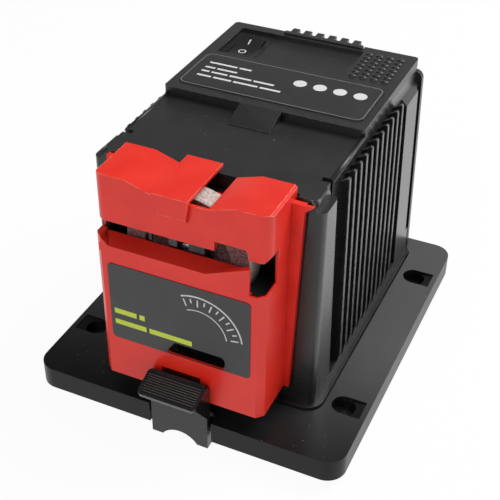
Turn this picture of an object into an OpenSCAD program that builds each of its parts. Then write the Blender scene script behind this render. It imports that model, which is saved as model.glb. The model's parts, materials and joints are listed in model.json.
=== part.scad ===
// Electric tool sharpener: a ribbed motor housing on a bench plate, with a grinding wheel
// on the motor's shaft and a lift-off guide for knives and scissors over the wheel.
// Millimetres. X is right, Y is back, Z is up. The origin is the bottom centre of the whole.

/* [Base plate] */
// Width of the base plate
plate_w = 150; // [144:1:160]
// Depth of the base plate
plate_d = 171; // [168:1:180]
// Height of the base plate
plate_h = 11; // [10:0.5:13]
// Corner radius of the base plate
plate_r = 9; // [7:0.5:12]
// Wall of the base plate's skirt
plate_wall = 3; // [2.5:0.25:4]
// Thickness of the base plate's top
plate_top = 3.5; // [3:0.25:5]
// Height of a rubber foot
foot_h = 5; // [5:0.5:8]
// Radius of a rubber foot
foot_r = 7; // [5:0.5:8]
// Distance from a foot's centre to the plate's edges
foot_inset = 13; // [12:0.5:16]

/* [Bench holes] */
// Distance between the bench holes across the plate
bench_dx = 127; // [124:0.5:129]
// Distance between the bench holes along the plate
bench_dy = 103.5; // [96:0.5:108]
// How far the hole pattern sits behind the plate's centre
bench_y = 1.75; // [0:0.25:3]
// Radius of a bench hole
bench_r = 2.5; // [2:0.1:3]
// Radius of the recess for a bench screw's head
bench_head_r = 5.5; // [4.5:0.25:6]
// Depth of the recess for a bench screw's head
bench_head_deep = 6; // [4:0.25:6.5]
// Depth of the recess's run-out, beside the hole
bench_run = 2; // [1:0.25:3]

/* [Housing] */
// Width of the housing at its foot
shell_foot_w = 105; // [104:0.5:110]
// Width of the housing under its shoulder
shell_mid_w = 100.2; // [99:0.5:103]
// Width of the deck
deck_w = 95.6; // [94:0.5:98]
// Width across the front pillars
pillar_w = 103.8; // [102:0.2:106]
// Distance from the plate's centre to the front of the pillars
shell_front = 57.6; // [57:0.2:59]
// Distance from the plate's centre to the housing's rear
shell_rear = 74.5; // [73:0.5:76]
// Depth of the deck below the valley of the guide's cap
deck_sink = 0.4; // [0.2:0.1:1]
// Height of the sloping shoulder below the deck
shoulder_h = 9.3; // [7:0.1:11]
// Height from the front pillars' outer edge up to the deck
pillar_drop = 4; // [3:0.25:6]
// Corner radius of the deck
deck_r = 5; // [3:0.5:6]
// Wall of the housing
shell_wall = 3; // [2.5:0.1:3.5]
// Thickness of the front wall behind the guide
front_wall = 6; // [5:0.25:7]
// Distance from the pillars' front to the front wall
front_set = 1.3; // [1:0.1:2]
// How far the foot flange stands out past the pillars
flange_out = 2.85; // [2:0.25:3.5]
// How far the foot flange stands above the plate
flange_up = 1.5; // [1:0.25:2.5]
// Depth of the housing's seat in the plate
seat_deep = 1; // [0.5:0.25:1.5]

/* [Cooling ribs] */
// Number of ribs on each side
rib_count = 11; // [9:1:11]
// Distance between ribs
rib_pitch = 6.95; // [6:0.05:7]
// Thickness of a rib
rib_t = 1.8; // [1.4:0.1:2.4]
// Distance from the plate's centre to the first rib
rib_start = 29; // [27:0.5:30]
// Width of a front pillar along the side, at its foot
pillar_foot = 21.5; // [20:0.5:23]
// Width of a front pillar along the side, at its top
pillar_top = 15; // [12:0.5:18]
// Width of a rear pillar along the side
rear_pillar = 21.5; // [20:0.5:24]
// Gap between a rear pillar and the rear cover
rear_groove = 4; // [3:0.5:6]
// Depth of the side recess behind the pillars, at the deck
recess_deep = 0.6; // [0.4:0.1:1]
// Height of the plain band below the ribs
rib_base = 4; // [3:0.5:6]

/* [Control panel] */
// Height of the raised panel above the deck
panel_h = 4.2; // [4:0.1:6]
// Distance from the plate's centre to the panel's front lip
panel_front = 2.85; // [0:0.25:5]
// Width of the ramp below the lip
ramp_w = 19.5; // [16:0.5:24]
// Length of the ramp below the lip
ramp_len = 13; // [10:0.5:16]
// Width of the sunken field behind the label
field_w = 63.7; // [60:0.5:65]
// Length of the sunken field
field_len = 29.4; // [26:0.2:30]
// Depth of the sunken field
field_deep = 2.2; // [1.5:0.1:3]
// Columns of grip dots
dot_cols = 4; // [3:1:4]
// Rows of grip dots
dot_rows = 7; // [5:1:7]

/* [Switch] */
// Width of the rocker
rocker_w = 12.4; // [11:0.1:13]
// Length of the rocker
rocker_len = 17.2; // [16:0.1:18]
// Angle that the rocker tips between its two positions
rocker_tip = 18; // [14:1:20]

/* [Motor] */
// Radius of the shaft
shaft_r = 4; // [3:0.25:5]
// Radius of the rotor
rotor_r = 17; // [15:0.25:18]
// Length of the laminated stack
stack_len = 40; // [34:1:44]
// Width of the laminated stack
stack_w = 64; // [60:1:66]
// Height of the stack above the shaft
stack_up = 22; // [21:0.25:23]
// Height of the stack below the shaft
stack_down = 52.5; // [51:0.5:54]
// Radius of the cooling fan
fan_r = 21; // [18:0.5:23]
// Number of fan blades
fan_blades = 9; // [5:1:11]

/* [Grinding wheel] */
// Radius of the grinding wheel
wheel_r = 28; // [26:0.25:28.2]
// Thickness of the grinding wheel
wheel_t = 10; // [8:0.25:10.5]
// Distance from the plate's centre to the wheel's rear face
wheel_back = 63.5; // [63:0.1:64]
// Depth of the wheel's top below the valley of the guide's cap
wheel_sink = 0.7; // [0.6:0.1:1.5]
// Radius of the wheel's bore
wheel_bore = 6; // [5.75:0.25:7]

/* [Guide] */
// Width of the guide's body
guide_w = 76; // [74:0.5:78]
// Distance from the plate's centre to the guide's front face
guide_front = 83; // [82.6:0.1:84]
// Chamfer on the guide's front edges
guide_chamfer = 3; // [2:0.25:4]
// Wall of the guide
guide_wall = 2.8; // [2.2:0.1:3]
// Height of the guide's lower edge above the plate
guide_lift = 9.8; // [8:0.2:12]
// Height of the guide's body
guide_h = 77.4; // [76:0.2:79]
// Height of the cap's ridges above the body
cap_h = 23.6; // [22.8:0.1:25]
// Distance from the plate's centre to the cap's front face
cap_front = 79.5; // [79:0.1:79.8]
// Distance from the plate's centre to the cap's rear edge
cap_rear = 53.7; // [53.5:0.1:55]
// Width of the scissor slot
scissor_gap = 7.3; // [6:0.1:8]
// Width of the scissor plate
tongue_w = 16; // [14:0.5:17]
// Slope of the knife ramp
knife_angle = 21; // [18:0.5:24]

/* [Latch] */
// Width of the latch
latch_w = 27.6; // [24:0.2:28]
// How far the thumb pad reaches ahead of the plate
pad_reach = 12.5; // [11:0.25:15]
// Height of the thumb pad's rear edge above the ground
pad_z = 38; // [36:0.25:39]
// Number of ridges on the thumb pad
pad_ridges = 8; // [6:1:10]
// Radius of the latch pin
pin_r = 1.5; // [1.25:0.05:2]

/* [Hidden] */
$fn = 48;
// Facets of the rounded slabs that the housing's body is lofted through
loft_fn = 32;
// Overlap of cuts past a face
eps = 0.5;
// Radial clearance of running fits, radial clearance of fixed fits, and gap between faces that move
run_fit = 0.05;
set_fit = 0.03;
move_gap = 0.3;

// Colours
black_plastic = [0.16, 0.16, 0.17];
red_plastic = [0.80, 0.14, 0.09];
grey_plastic = [0.55, 0.55, 0.55];
rubber_black = [0.08, 0.08, 0.08];
steel = [0.68, 0.68, 0.70];
copper = [0.72, 0.40, 0.22];
label_dark = [0.27, 0.27, 0.28];
stone = [0.62, 0.56, 0.58];

// Heights that the rest is stacked on
plate_z = foot_h + plate_h;
guide_z = plate_z + guide_lift;
body_top = guide_z + guide_h;
ridge_z = body_top + cap_h;
cap_valley = 3.6;
valley_z = ridge_z - cap_valley;
deck_z = valley_z - deck_sink;
axis_z = valley_z - wheel_sink - wheel_r;
mid_z = deck_z - shoulder_h;
panel_z = deck_z + panel_h;
shell_z = plate_z - seat_deep;
flange_z = plate_z + flange_up;
roof_z = deck_z - shell_wall;

// Base plate
bench_margin = 2.5;
bench_run_end = 0.6;
head_sink = 0.4;

// The whole is as deep as the plate and the thumb pad ahead of it, with the origin in the middle
frame_y = pad_reach / 2;

// Housing in plan
front_face = -shell_front + front_set;
cavity_front = front_face + front_wall;
flange_front = -shell_front - flange_out;
flange_behind = 3.5;
flange_rear = shell_rear + flange_behind;
flange_w = pillar_w + 2 * flange_out;
flange_r = 8;
seat_gap = 0.5;
pillar_r = 3;
pillar_top_z = deck_z - pillar_drop;
recess_front = -shell_front + pillar_foot;
pillar_back = -shell_front + pillar_top;
recess_rear = shell_rear - rear_pillar;
rear_top_drop = 1.5;
rear_top_z = mid_z - rear_top_drop;
rear_top_rise = 3;
groove_skin = 0.6;
recess_x = deck_w / 2 - recess_deep;
cavity_x = recess_x - shell_wall;
rib_round = 4;
rib_over = 3.5;
rib_top = mid_z + rib_over;

// Pocket between the pillars, wider at the top than at the foot
bay_top = 45.4;
bay_foot = 41.2;

// Housing screws from below
boss_r = 4.2;
boss_bite = 0.5;
boss_h = 32;
boss_x = cavity_x - boss_r + boss_bite;
boss_front = cavity_front + boss_r - boss_bite;
boss_rear = shell_rear - boss_r - 2 * boss_bite;
boss_top = shell_z + boss_h;
screw_short = 6;
screw_r = 1.75;
screw_head_r = 3.5;
screw_head_h = 2.6;
boss_places = [[-boss_x, boss_front], [boss_x, boss_front], [-boss_x, boss_rear], [boss_x, boss_rear]];

// Rear cover and its comb
cover_t = 3;
cover_rear = shell_rear + cover_t;
cover_out = 0.2;
cover_round = 4;
cover_top = roof_z;
comb_half = 20.3;
comb_deep = 3.7;
comb_front = shell_rear - comb_deep;
comb_teeth = 6;
comb_up = 1;
comb_pitch = 6.4;
comb_band = 2.6;
vent_count = 9;
vent_w = 3;
vent_pitch = 6;
vent_up = 44;
vent_z = plate_z + vent_up;
vent_h = 46;
inlet_x = 28;
inlet_up = 16;
inlet_z = plate_z + inlet_up;
inlet_r = 3.5;
grommet_r = 6;
grommet_lip = 2.5;
cover_screw_r = 1.5;
cover_screw_out = 2.6;
cover_screw_low = 9;
cover_screw_high = 6;
cover_screw_x = cavity_x + cover_screw_out;
cover_screw_zs = [flange_z + cover_screw_low, mid_z - cover_screw_high];
cover_screw_len = 12;
cover_head_r = 2.9;
cover_head_h = 1.8;

// Switch, near the left end of the sunken field
field_behind = 1.75;
field_side = 0.8;
field_y = comb_front - field_behind - field_len / 2;
field_z = panel_z - field_deep;
switch_x = -32.5;
switch_ahead = 1.35;
switch_y = field_y - switch_ahead;
bezel_t = 0.4;
bezel_lip = 0.6;
switch_wall = 1.2;
rocker_gap = 0.4;
well_w = rocker_w + 2 * rocker_gap;
well_len = rocker_len + 2;
well_deep = 9;
switch_w = well_w + 2 * switch_wall;
switch_len = well_len + 2 * switch_wall;
field_x = switch_x - switch_w / 2 - bezel_lip - field_side + field_w / 2;
switch_deep = 17;
trunnion_r = 1.2;
rocker_rise = 3.3;
rocker_sink = 0.2;
rocker_z = field_z + bezel_t - rocker_sink - rocker_rise;
rocker_dip = rocker_len / 2 * tan(rocker_tip / 2);
rocker_drop = 3.4;
tab_w = 6.3;
tab_t = 0.8;
tab_len = 8;

// Labels
label_t = 0.3;
rating_w = 89;
rating_len = 33;
rating_margin = 5.85;
rating_y = -panel_front + rating_margin + rating_len / 2;
rating_r = 4;
dot_r = 1.16;
dot_up = 0.8;
dot_beside = 2.345;
dot_edge = 5.445;
dot_left = field_x + field_w / 2 + dot_beside + dot_r;
dot_right = deck_w / 2 - dot_edge - dot_r;
dot_dx = (dot_right - dot_left) / (dot_cols - 1);
dot_x = (dot_left + dot_right) / 2;
dot_dy = 4;
dot_behind = 0.65;
dot_y = field_y + dot_behind;

// Motor along the shaft, from the plate's centre
stack_mid = 2;
stack_front = stack_mid - stack_len / 2;
stack_rear = stack_mid + stack_len / 2;
air_gap = 0.5;
stack_top = axis_z + stack_up;
stack_foot = axis_z - stack_down;
stack_r = 3;
limb_h = 14;
window_w = 30;
window_below = 8.5;
window_top = axis_z - rotor_r - window_below;
end_ring_t = 3;
end_ring_r = rotor_r - end_ring_t;
post_r = 4.5;
post_len = 12;
bridge_t = 4;
bridge_in = 1;
bridge_half = stack_w / 2 - bridge_in;
hub_r = 11;
hub_len = 8;
bush_r = 7;
bush_len = 10;
bolt_r = 2;
bolt_in = 6;
bolt_half = 15.5;
bolt_x = stack_w / 2 - bolt_in;
bolt_zs = [axis_z - bolt_half, axis_z + bolt_half];
bolt_head_r = 3.6;
bolt_head_h = 2.4;
bobbin_t = 1.2;
bobbin_gap = 0.2;
coil_out = 9;
shade_r = 1.2;
shade_out = 3.4;
shade_ring = rotor_r + shade_out;
shade_angles = [35, 62];
mount_t = 2;
mount_len = 20;
mount_foot = 8;
mount_h = 40;
fan_hub_r = 7;
fan_len = 9;
fan_gap = 2;
fan_blade_t = 1.4;
fan_lean = 28;
shaft_rear = stack_rear + post_len + bridge_t + hub_len + fan_gap + fan_len + 1;

// Wheel along the shaft
wheel_front = wheel_back + wheel_t;
wheel_dish = 4.5;
dish_r = 19.5;
hub_flange_r = 13;
hub_flange_t = 3;
hub_sleeve_r = 8;
hub_sleeve_len = 8;
washer_r = 9.5;
washer_t = 2;
end_screw_r = 2;
end_screw_head = 4.4;
end_screw_head_h = 2.2;
end_screw_len = 14;

// Guide
guide_half = guide_w / 2;
guide_y = -guide_front;
guide_inner = guide_half - guide_wall;
rail_behind = 0.5;
rail_back = front_face - rail_behind;
rail_t = 2.7;
rail_front = rail_back - rail_t;
rail_gap = 1.2;
rail_sink = 0.8;
rail_top = deck_z - rail_sink;
ear_out = 3.6;
ear_t = 1.5;
ear_h = 3;
rail_slot = 14;
rail_arch = axis_z + rail_slot;
bridge_up = 13;
rail_bridge = body_top + bridge_up;
bridge_x = 32.8;
ledge_w = 5;
// Lip of the front wall: left end, level stretch, and the horn at the right
lip_drop = 7.9;
lip_z = body_top - lip_drop;
lip_left = -31.4;
lip_bend = 12.5;
lip_right = 31.5;
lip_rise = 3.8;
horn_rise = 8;
mouth_drop = 4.8;
mouth_z = lip_z - mouth_drop;
mouth_ahead = 3;
mouth_back = -wheel_front + mouth_ahead;
mouth_skin = 1;
mouth_slant = 4.5;
mouth_thin = 3;
lip_clear = 1;
lip_back = -wheel_front - lip_clear;
ramp_run = 7;
ramp_back = guide_y + ramp_run;
knife_t = 2.4;
window_x0 = -6.1;
window_x1 = 21;
window_up = 21.9;
window_h = 6.5;
window_z0 = guide_z + window_up;
window_z1 = window_z0 + window_h;
window_r = 2.4;
window_slant = 4.5;
window_skin = 0.8;
window_relief = 3;
window_reach = 9;
catch_half = 9.3;
catch_h = 5;
catch_deep = 1.2;
front_label_w = 64.8;
front_label_below = 0.3;
front_label_under = 8.3;
front_label_z0 = window_z0 - front_label_below;
front_label_z1 = lip_z - front_label_under;
front_label_r = 2;

// Cap over the wheel
cap_half = guide_half + 0.5;
cap_r = 4.5;
cap_edge = 1;
cap_ridge_x = 24;
cap_valley_x = 12.5;
cap_wall = 3;
cap_inner = guide_half - cap_wall;
cap_roof = 3.6;
cap_inside_z = valley_z - cap_roof;
cap_lift = 1.7;
cap_room = 1.5;
cap_step = 13.6;
cap_step_gap = 0.8;
cap_step_z = body_top + cap_step;
wheel_gap = 1.5;
notch_x0 = 14.9;
notch_x1 = 29.5;
notch_h = 6.1;
notch_r = 2;
corner_rise = 4;
slot_right = cap_valley_x;
slot_left = slot_right - scissor_gap;
slot_under = 6;
slot_wall = 1.3;
tongue_gap = 0.2;
tongue_right = slot_left - tongue_gap;
tongue_left = tongue_right - tongue_w;
tongue_t = 2.8;
tongue_edge = 1.4;
tongue_behind = 3.2;
tongue_ahead = 2.5;
tongue_rear = -cap_rear + tongue_behind;
tongue_front = -cap_front - tongue_ahead;
tongue_tab = 9.5;
spring_t = 1.2;
spring_drop = 7;
spring_up = 3;
spring_h = 6;
spring_over = 4;
spring_bars = [[-15.2, 1.2], [-5, 3.6], [5.6, 7]];
guide_screw_below = 4.2;
guide_screw_z = rail_bridge - guide_screw_below;
guide_screw_r = 1.3;
guide_screw_head = 2.7;
guide_screw_head_h = 1.5;
guide_boss_r = 3.6;
guide_boss_bite = 0.6;
guide_screw_x = cap_inner - guide_boss_r + guide_boss_bite;
guide_screw_len = 9;

// Latch in the plate's front edge
plate_front = -plate_d / 2;
latch_gap = 1.4;
notch_half = latch_w / 2 + latch_gap;
notch_back = plate_front + 9;
block_w = 7;
pin_y = plate_front + 2.9;
pin_z = foot_h + plate_h / 2;
pin_half = notch_half + 4;
latch_clear = 0.8;
latch_face = plate_front - 0.7;
latch_t = guide_y - 0.4 - latch_face;
latch_foot_t = 6;
barrel_r = 3.5;
pad_y = plate_front;
pad_front = plate_front - pad_reach;
pad_drop = 4.3;
pad_slope = atan(pad_drop / pad_reach);
pad_len = pad_reach / cos(pad_slope);
pad_t = 2.2;
pad_r = 2.2;
pad_rim = 1.3;
pad_root = 19;
pad_set = 1.2;
pad_shoulder = 3;
ridge_deep = 0.6;
arch_half = 8.5;
arch_h = 4.7;
arch_r = (arch_half * arch_half + arch_h * arch_h) / (2 * arch_h);
leaf_t = 0.6;
leaf_x0 = 9.4;
leaf_x1 = 13;

// Points along an arc about a centre
function arc(cx, cy, r, a0, a1, n = 6) =
    [for (i = [0 : n]) [cx + r * cos(a0 + (a1 - a0) * i / n), cy + r * sin(a0 + (a1 - a0) * i / n)]];

// Moves a piece from the plate's centre line to the frame of the whole
module framed() {
    translate([0, frame_y, 0]) children();
}

// A piece and its mirror image across the middle
module both_sides() {
    children();
    mirror([1, 0, 0]) children();
}

// Flat rounded rectangle about the origin
module rounded(w, d, r) {
    square([w - 2 * r, d], center = true);
    square([w, d - 2 * r], center = true);
    for (x = [-1, 1], y = [-1, 1])
        translate([x * (w / 2 - r), y * (d / 2 - r)]) circle(r);
}

// An X-Z outline drawn out along Y, and a Y-Z outline drawn out along X
module along_y(y0, y1) {
    translate([0, y1, 0]) rotate([90, 0, 0]) linear_extrude(y1 - y0) children();
}

module along_x(x0, x1) {
    translate([x0, 0, 0]) rotate([90, 0, 90]) linear_extrude(x1 - x0) children();
}

module rod_y(r, y0, y1, x, z) {
    translate([x, y1, z]) rotate([90, 0, 0]) cylinder(r = r, h = y1 - y0);
}

module rod_x(r, x0, x1, y, z) {
    translate([x0, y, z]) rotate([0, 90, 0]) cylinder(r = r, h = x1 - x0);
}

module block(x0, x1, y0, y1, z0, z1) {
    translate([x0, y0, z0]) cube([x1 - x0, y1 - y0, z1 - z0]);
}

// Base plate

module foot_places() {
    for (x = [-1, 1], y = [-1, 1])
        translate([x * (plate_w / 2 - foot_inset), y * (plate_d / 2 - foot_inset), 0]) children();
}

module bench_places() {
    for (x = [-1, 1], y = [-1, 1])
        translate([x * bench_dx / 2, bench_y + y * bench_dy / 2, 0])
            mirror([x > 0 ? 0 : 1, 0, 0]) children();
}

// Pad under a bench hole, out to the skirt
module bench_pad() {
    reach = (plate_w - bench_dx) / 2 - plate_wall / 2;
    pad = bench_head_r + 2;
    block(-pad, reach, -pad, pad, foot_h, plate_z - plate_top + eps);
}

// Screw hole with a deep round head recess, and a run-out that rises towards the edge
module bench_cut() {
    reach = (plate_w - bench_dx) / 2 - bench_margin;
    translate([0, 0, foot_h - eps]) cylinder(r = bench_r, h = plate_h + 2 * eps);
    translate([0, 0, plate_z - bench_head_deep]) cylinder(r = bench_head_r, h = bench_head_deep + eps);
    along_y(-bench_head_r, bench_head_r)
        polygon([[0, plate_z - bench_run], [reach, plate_z - bench_run_end], [reach, plate_z + eps],
            [0, plate_z + eps]]);
}

module housing_seat() {
    translate([0, (flange_front + flange_rear) / 2, shell_z])
        linear_extrude(seat_deep + eps)
            rounded(flange_w + 2 * seat_gap, flange_rear - flange_front + 2 * seat_gap, flange_r + seat_gap);
}

module base_plate() framed() color(black_plastic) {
    web_t = 2;
    web_drop = 1.5;
    difference() {
        union() {
            difference() {
                translate([0, 0, foot_h]) linear_extrude(plate_h) rounded(plate_w, plate_d, plate_r);
                translate([0, 0, foot_h - eps]) linear_extrude(plate_h - plate_top + eps)
                    rounded(plate_w - 2 * plate_wall, plate_d - 2 * plate_wall, plate_r - plate_wall);
            }
            for (x = [-1, 0, 1])
                translate([x * plate_w / 5 - web_t / 2, notch_back, foot_h + web_drop])
                    cube([web_t, plate_d / 2 - notch_back - 1, plate_h - plate_top]);
            for (y = [-1, 0, 1])
                translate([-plate_w / 2 + 1, y * plate_d / 6 - web_t / 2, foot_h + web_drop])
                    cube([plate_w - 2, web_t, plate_h - plate_top]);
            foot_places() translate([0, 0, foot_h]) cylinder(r = foot_r + 1, h = plate_h - 1);
            bench_places() bench_pad();
            for (p = boss_places)
                translate([p[0], p[1], foot_h]) cylinder(r = screw_head_r + 2, h = plate_h - seat_deep - 1);
            block(-notch_half - block_w, notch_half + block_w, plate_front + 1, notch_back + 4, foot_h,
                plate_z - 1);
        }
        bench_places() bench_cut();
        housing_seat();
        for (p = boss_places) translate([p[0], p[1], foot_h - eps]) {
            cylinder(r = screw_r + 0.2, h = plate_h + 2 * eps);
            cylinder(r = screw_head_r + move_gap, h = screw_head_h + head_sink + eps);
        }
        block(-notch_half, notch_half, plate_front - eps, notch_back, foot_h - eps, plate_z + eps);
        rod_x(pin_r + set_fit, -pin_half, pin_half, pin_y, pin_z);
    }
}

module rubber_feet() framed() color(rubber_black) {
    taper = 1;
    foot_places() difference() {
        rotate_extrude() polygon(concat([[0, 0]], arc(foot_r - 2 * taper, taper, taper, -90, 0),
            [[foot_r, foot_h], [0, foot_h]]));
        translate([0, 0, -eps]) cylinder(r = foot_r / 3, h = foot_h / 2 + eps);
    }
}

module base_screws() framed() color(steel) {
    head_z = foot_h + head_sink;
    for (p = boss_places) translate([p[0], p[1], head_z]) {
        cylinder(r = screw_head_r, h = screw_head_h);
        cylinder(r = screw_r, h = boss_top - screw_short - head_z);
    }
}

// Housing

// Thin rounded slab of the lofted body, from its front edge back past the rear end
module loft_slab(w, r, z) {
    front = -shell_front + 2;
    back = shell_rear + 20;
    translate([0, (back + front) / 2, z]) linear_extrude(0.01) rounded(w, back - front, r, $fn = loft_fn);
}

// Drafted outside of the housing with its sloping shoulder
module shell_outside() {
    intersection() {
        hull() {
            loft_slab(shell_foot_w, deck_r, shell_z);
            loft_slab(shell_mid_w, deck_r, mid_z);
            loft_slab(deck_w, deck_r, deck_z - 0.01);
        }
        block(-shell_foot_w, shell_foot_w, -shell_front - 10, shell_rear, 0, deck_z + 1);
    }
}

// Upright post at a front corner: straight to its top, narrowing behind, then sloping in to the deck
module front_pillar() {
    inner = bay_foot - 2;
    outer = pillar_w / 2;
    hull() {
        pillar_slab(inner, outer, -shell_front, recess_front, pillar_r, shell_z);
        pillar_slab(inner, outer, -shell_front, pillar_back, pillar_r, pillar_top_z);
        pillar_slab(inner, deck_w / 2, -shell_front + 2, pillar_back - 1, pillar_r, deck_z - 0.01);
    }
}

module pillar_slab(x0, x1, y0, y1, r, z) {
    translate([(x0 + x1) / 2, (y0 + y1) / 2, z]) linear_extrude(0.01)
        rounded(x1 - x0, y1 - y0, min(r, (x1 - x0) / 2 - 0.1), $fn = loft_fn);
}

// What is taken off outside a rear pillar: a sloping top, and a groove ahead of the rear cover
module rear_pillar_cut() {
    far = shell_foot_w;
    top = rear_top_z + rear_top_rise;
    slope = rear_top_rise / (shell_mid_w / 2 - recess_x);
    groove_x = cover_screw_x + cover_screw_r + groove_skin;
    groove_z = flange_z + cover_screw_low + cover_screw_r + cover_head_r;
    along_y(recess_rear - eps, shell_rear + eps)
        polygon([[recess_x, top], [far, top - slope * (far - recess_x)], [far, deck_z + 1],
            [recess_x, deck_z + 1]]);
    block(groove_x, far, shell_rear - rear_groove, shell_rear + eps, groove_z, deck_z);
}

// Side outline of one rib: leans with the wall and rounds over at the top
module rib_outline() {
    lean = (shell_foot_w - shell_mid_w) / 2;
    top_x = shell_mid_w / 2;
    polygon(concat([[cavity_x + 1, flange_z + rib_base - 1], [top_x + lean, flange_z + rib_base - 1]],
        arc(top_x - rib_round, rib_top - rib_round, rib_round, 0, 90),
        [[cavity_x + 1, rib_top]]));
}

// Pocket at the front that takes the guide between the pillars
module guide_bay() {
    along_y(-shell_front - 10, front_face)
        polygon([[-bay_foot, flange_z], [bay_foot, flange_z], [bay_top, deck_z + 1], [-bay_top, deck_z + 1]]);
}

module housing() framed() color(black_plastic) {
    slit_w = 3;
    slit_in = 4.8;
    slit_deep = 2.4;
    slit_side = 1.9;
    slit_drop = 8.5;
    slit_behind = 1.8;
    slit_y = pillar_back + slit_behind;
    bay_ledge = guide_z - move_gap;
    past = deck_z + 1;
    difference() {
        union() {
            difference() {
                union() {
                    difference() {
                        shell_outside();
                        both_sides() block(recess_x, shell_foot_w, pillar_back - 2, recess_rear,
                            flange_z + rib_base, past);
                        both_sides() rear_pillar_cut();
                    }
                    both_sides() front_pillar();
                    translate([0, (flange_front + flange_rear) / 2, shell_z])
                        linear_extrude(seat_deep + flange_up)
                            rounded(flange_w, flange_rear - flange_front, flange_r);
                }
                guide_bay();
                block(-cavity_x, cavity_x, cavity_front, shell_rear + 10, shell_z - eps, roof_z);
            }
            both_sides() for (i = [0 : rib_count - 1])
                along_y(i * rib_pitch - rib_start - rib_t / 2, i * rib_pitch - rib_start + rib_t / 2)
                    rib_outline();
            for (p = boss_places) translate([p[0], p[1], shell_z]) cylinder(r = boss_r, h = boss_h);
            both_sides() block(bay_foot - ledge_w, bay_foot + 1, -shell_front, cavity_front - 1,
                flange_z - 1, bay_ledge);
        }
        for (p = boss_places) translate([p[0], p[1], shell_z - eps])
            cylinder(r = screw_r + set_fit, h = boss_h - shell_wall);
        // Room for the guide's cap in the front edge of the deck
        block(-guide_half - cap_room, guide_half + cap_room, -shell_front - 10, -cap_rear + seat_gap,
            cap_step_z - cap_step_gap, past);
        rod_y(hub_sleeve_r + cap_room, front_face - eps, cavity_front + eps, 0, axis_z);
        block(switch_x - switch_w / 2 - move_gap, switch_x + switch_w / 2 + move_gap,
            switch_y - switch_len / 2 - move_gap, switch_y + switch_len / 2 + move_gap,
            roof_z - eps, past);
        both_sides() {
            block(deck_w / 2 - slit_in, deck_w, slit_y, slit_y + slit_w, deck_z - slit_deep, past);
            block(deck_w / 2 - slit_side, deck_w, slit_y, slit_y + slit_w, deck_z - slit_drop, past);
            for (z = cover_screw_zs)
                rod_y(cover_screw_r + set_fit, shell_rear - cover_screw_len - 1, shell_rear + eps,
                    cover_screw_x, z);
        }
    }
}

// Control panel on the deck

module control_panel() framed() color(black_plastic) {
    lip_t = 1.9;
    lip_set = 1.4;
    ramp_edge = 0.4;
    ramp_in = -panel_front + lip_set + 1;
    panel_d = shell_rear + panel_front;
    panel_r = 2;
    difference() {
        union() {
            difference() {
                translate([0, (shell_rear - panel_front) / 2, deck_z]) linear_extrude(panel_h)
                    rounded(deck_w, panel_d, panel_r);
                block(-deck_w, deck_w, -panel_front - eps, -panel_front + lip_set,
                    deck_z - eps, panel_z - lip_t);
            }
            along_x(-ramp_w / 2, ramp_w / 2)
                polygon([[-panel_front - ramp_len, deck_z], [ramp_in, deck_z], [ramp_in, panel_z],
                    [-panel_front, panel_z], [-panel_front - ramp_len, deck_z + ramp_edge]]);
            translate([dot_x, dot_y, panel_z + dot_up - dot_r])
                for (i = [0 : dot_cols - 1], j = [0 : dot_rows - 1])
                    translate([(i - (dot_cols - 1) / 2) * dot_dx, (j - (dot_rows - 1) / 2) * dot_dy, 0])
                        sphere(dot_r);
        }
        translate([field_x, field_y, field_z]) linear_extrude(field_deep + eps)
            rounded(field_w, field_len, 1);
        translate([switch_x, switch_y, deck_z - eps]) linear_extrude(panel_h)
            square([switch_w + 2 * move_gap, switch_len + 2 * move_gap], center = true);
        block(-comb_half - move_gap, comb_half + move_gap, comb_front - move_gap, shell_rear + eps,
            deck_z - eps, panel_z + eps);
    }
}

module rating_label() framed() color(label_dark)
    translate([0, rating_y, panel_z]) linear_extrude(label_t) rounded(rating_w, rating_len, rating_r);

// Rear cover

// Outline of the cover: a little wider than the housing, with round upper corners
module cover_outline() {
    foot = shell_foot_w / 2 + cover_out;
    top = shell_mid_w / 2 + cover_out;
    right = concat([[foot, flange_z + set_fit]],
        arc(top - cover_round, cover_top - cover_round, cover_round, 0, 90));
    polygon(concat(right, [for (i = [len(right) - 1 : -1 : 0]) [-right[i][0], right[i][1]]]));
}

// Comb of teeth in plan: a band at the front, with gaps cut from behind
module comb_outline() {
    gap_w = 2.9;
    difference() {
        translate([-comb_half, comb_front]) square([2 * comb_half, cover_rear - comb_front]);
        for (i = [0 : comb_teeth])
            translate([(i - comb_teeth / 2) * comb_pitch - gap_w / 2, comb_front + comb_band])
                square([gap_w, cover_rear]);
    }
}

module rear_cover() framed() color(black_plastic) {
    web = comb_half - 0.5;
    difference() {
        union() {
            along_y(shell_rear, cover_rear) cover_outline();
            block(-web, web, shell_rear, cover_rear, cover_top - 1, deck_z + 1.5);
            translate([0, 0, deck_z + 0.2]) linear_extrude(panel_h + comb_up - 0.2) comb_outline();
        }
        for (i = [0 : vent_count - 1])
            block((i - (vent_count - 1) / 2) * vent_pitch - vent_w / 2,
                (i - (vent_count - 1) / 2) * vent_pitch + vent_w / 2,
                shell_rear - eps, cover_rear + eps, vent_z, vent_z + vent_h);
        rod_y(grommet_r, shell_rear - eps, cover_rear + eps, inlet_x, inlet_z);
        both_sides() for (z = cover_screw_zs)
            rod_y(cover_screw_r + 0.2, shell_rear - eps, cover_rear + eps, cover_screw_x, z);
    }
}

module cover_screws() framed() color(steel) both_sides() for (z = cover_screw_zs) {
    rod_y(cover_screw_r, shell_rear - cover_screw_len, cover_rear, cover_screw_x, z);
    rod_y(cover_head_r, cover_rear, cover_rear + cover_head_h, cover_screw_x, z);
}

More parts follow.
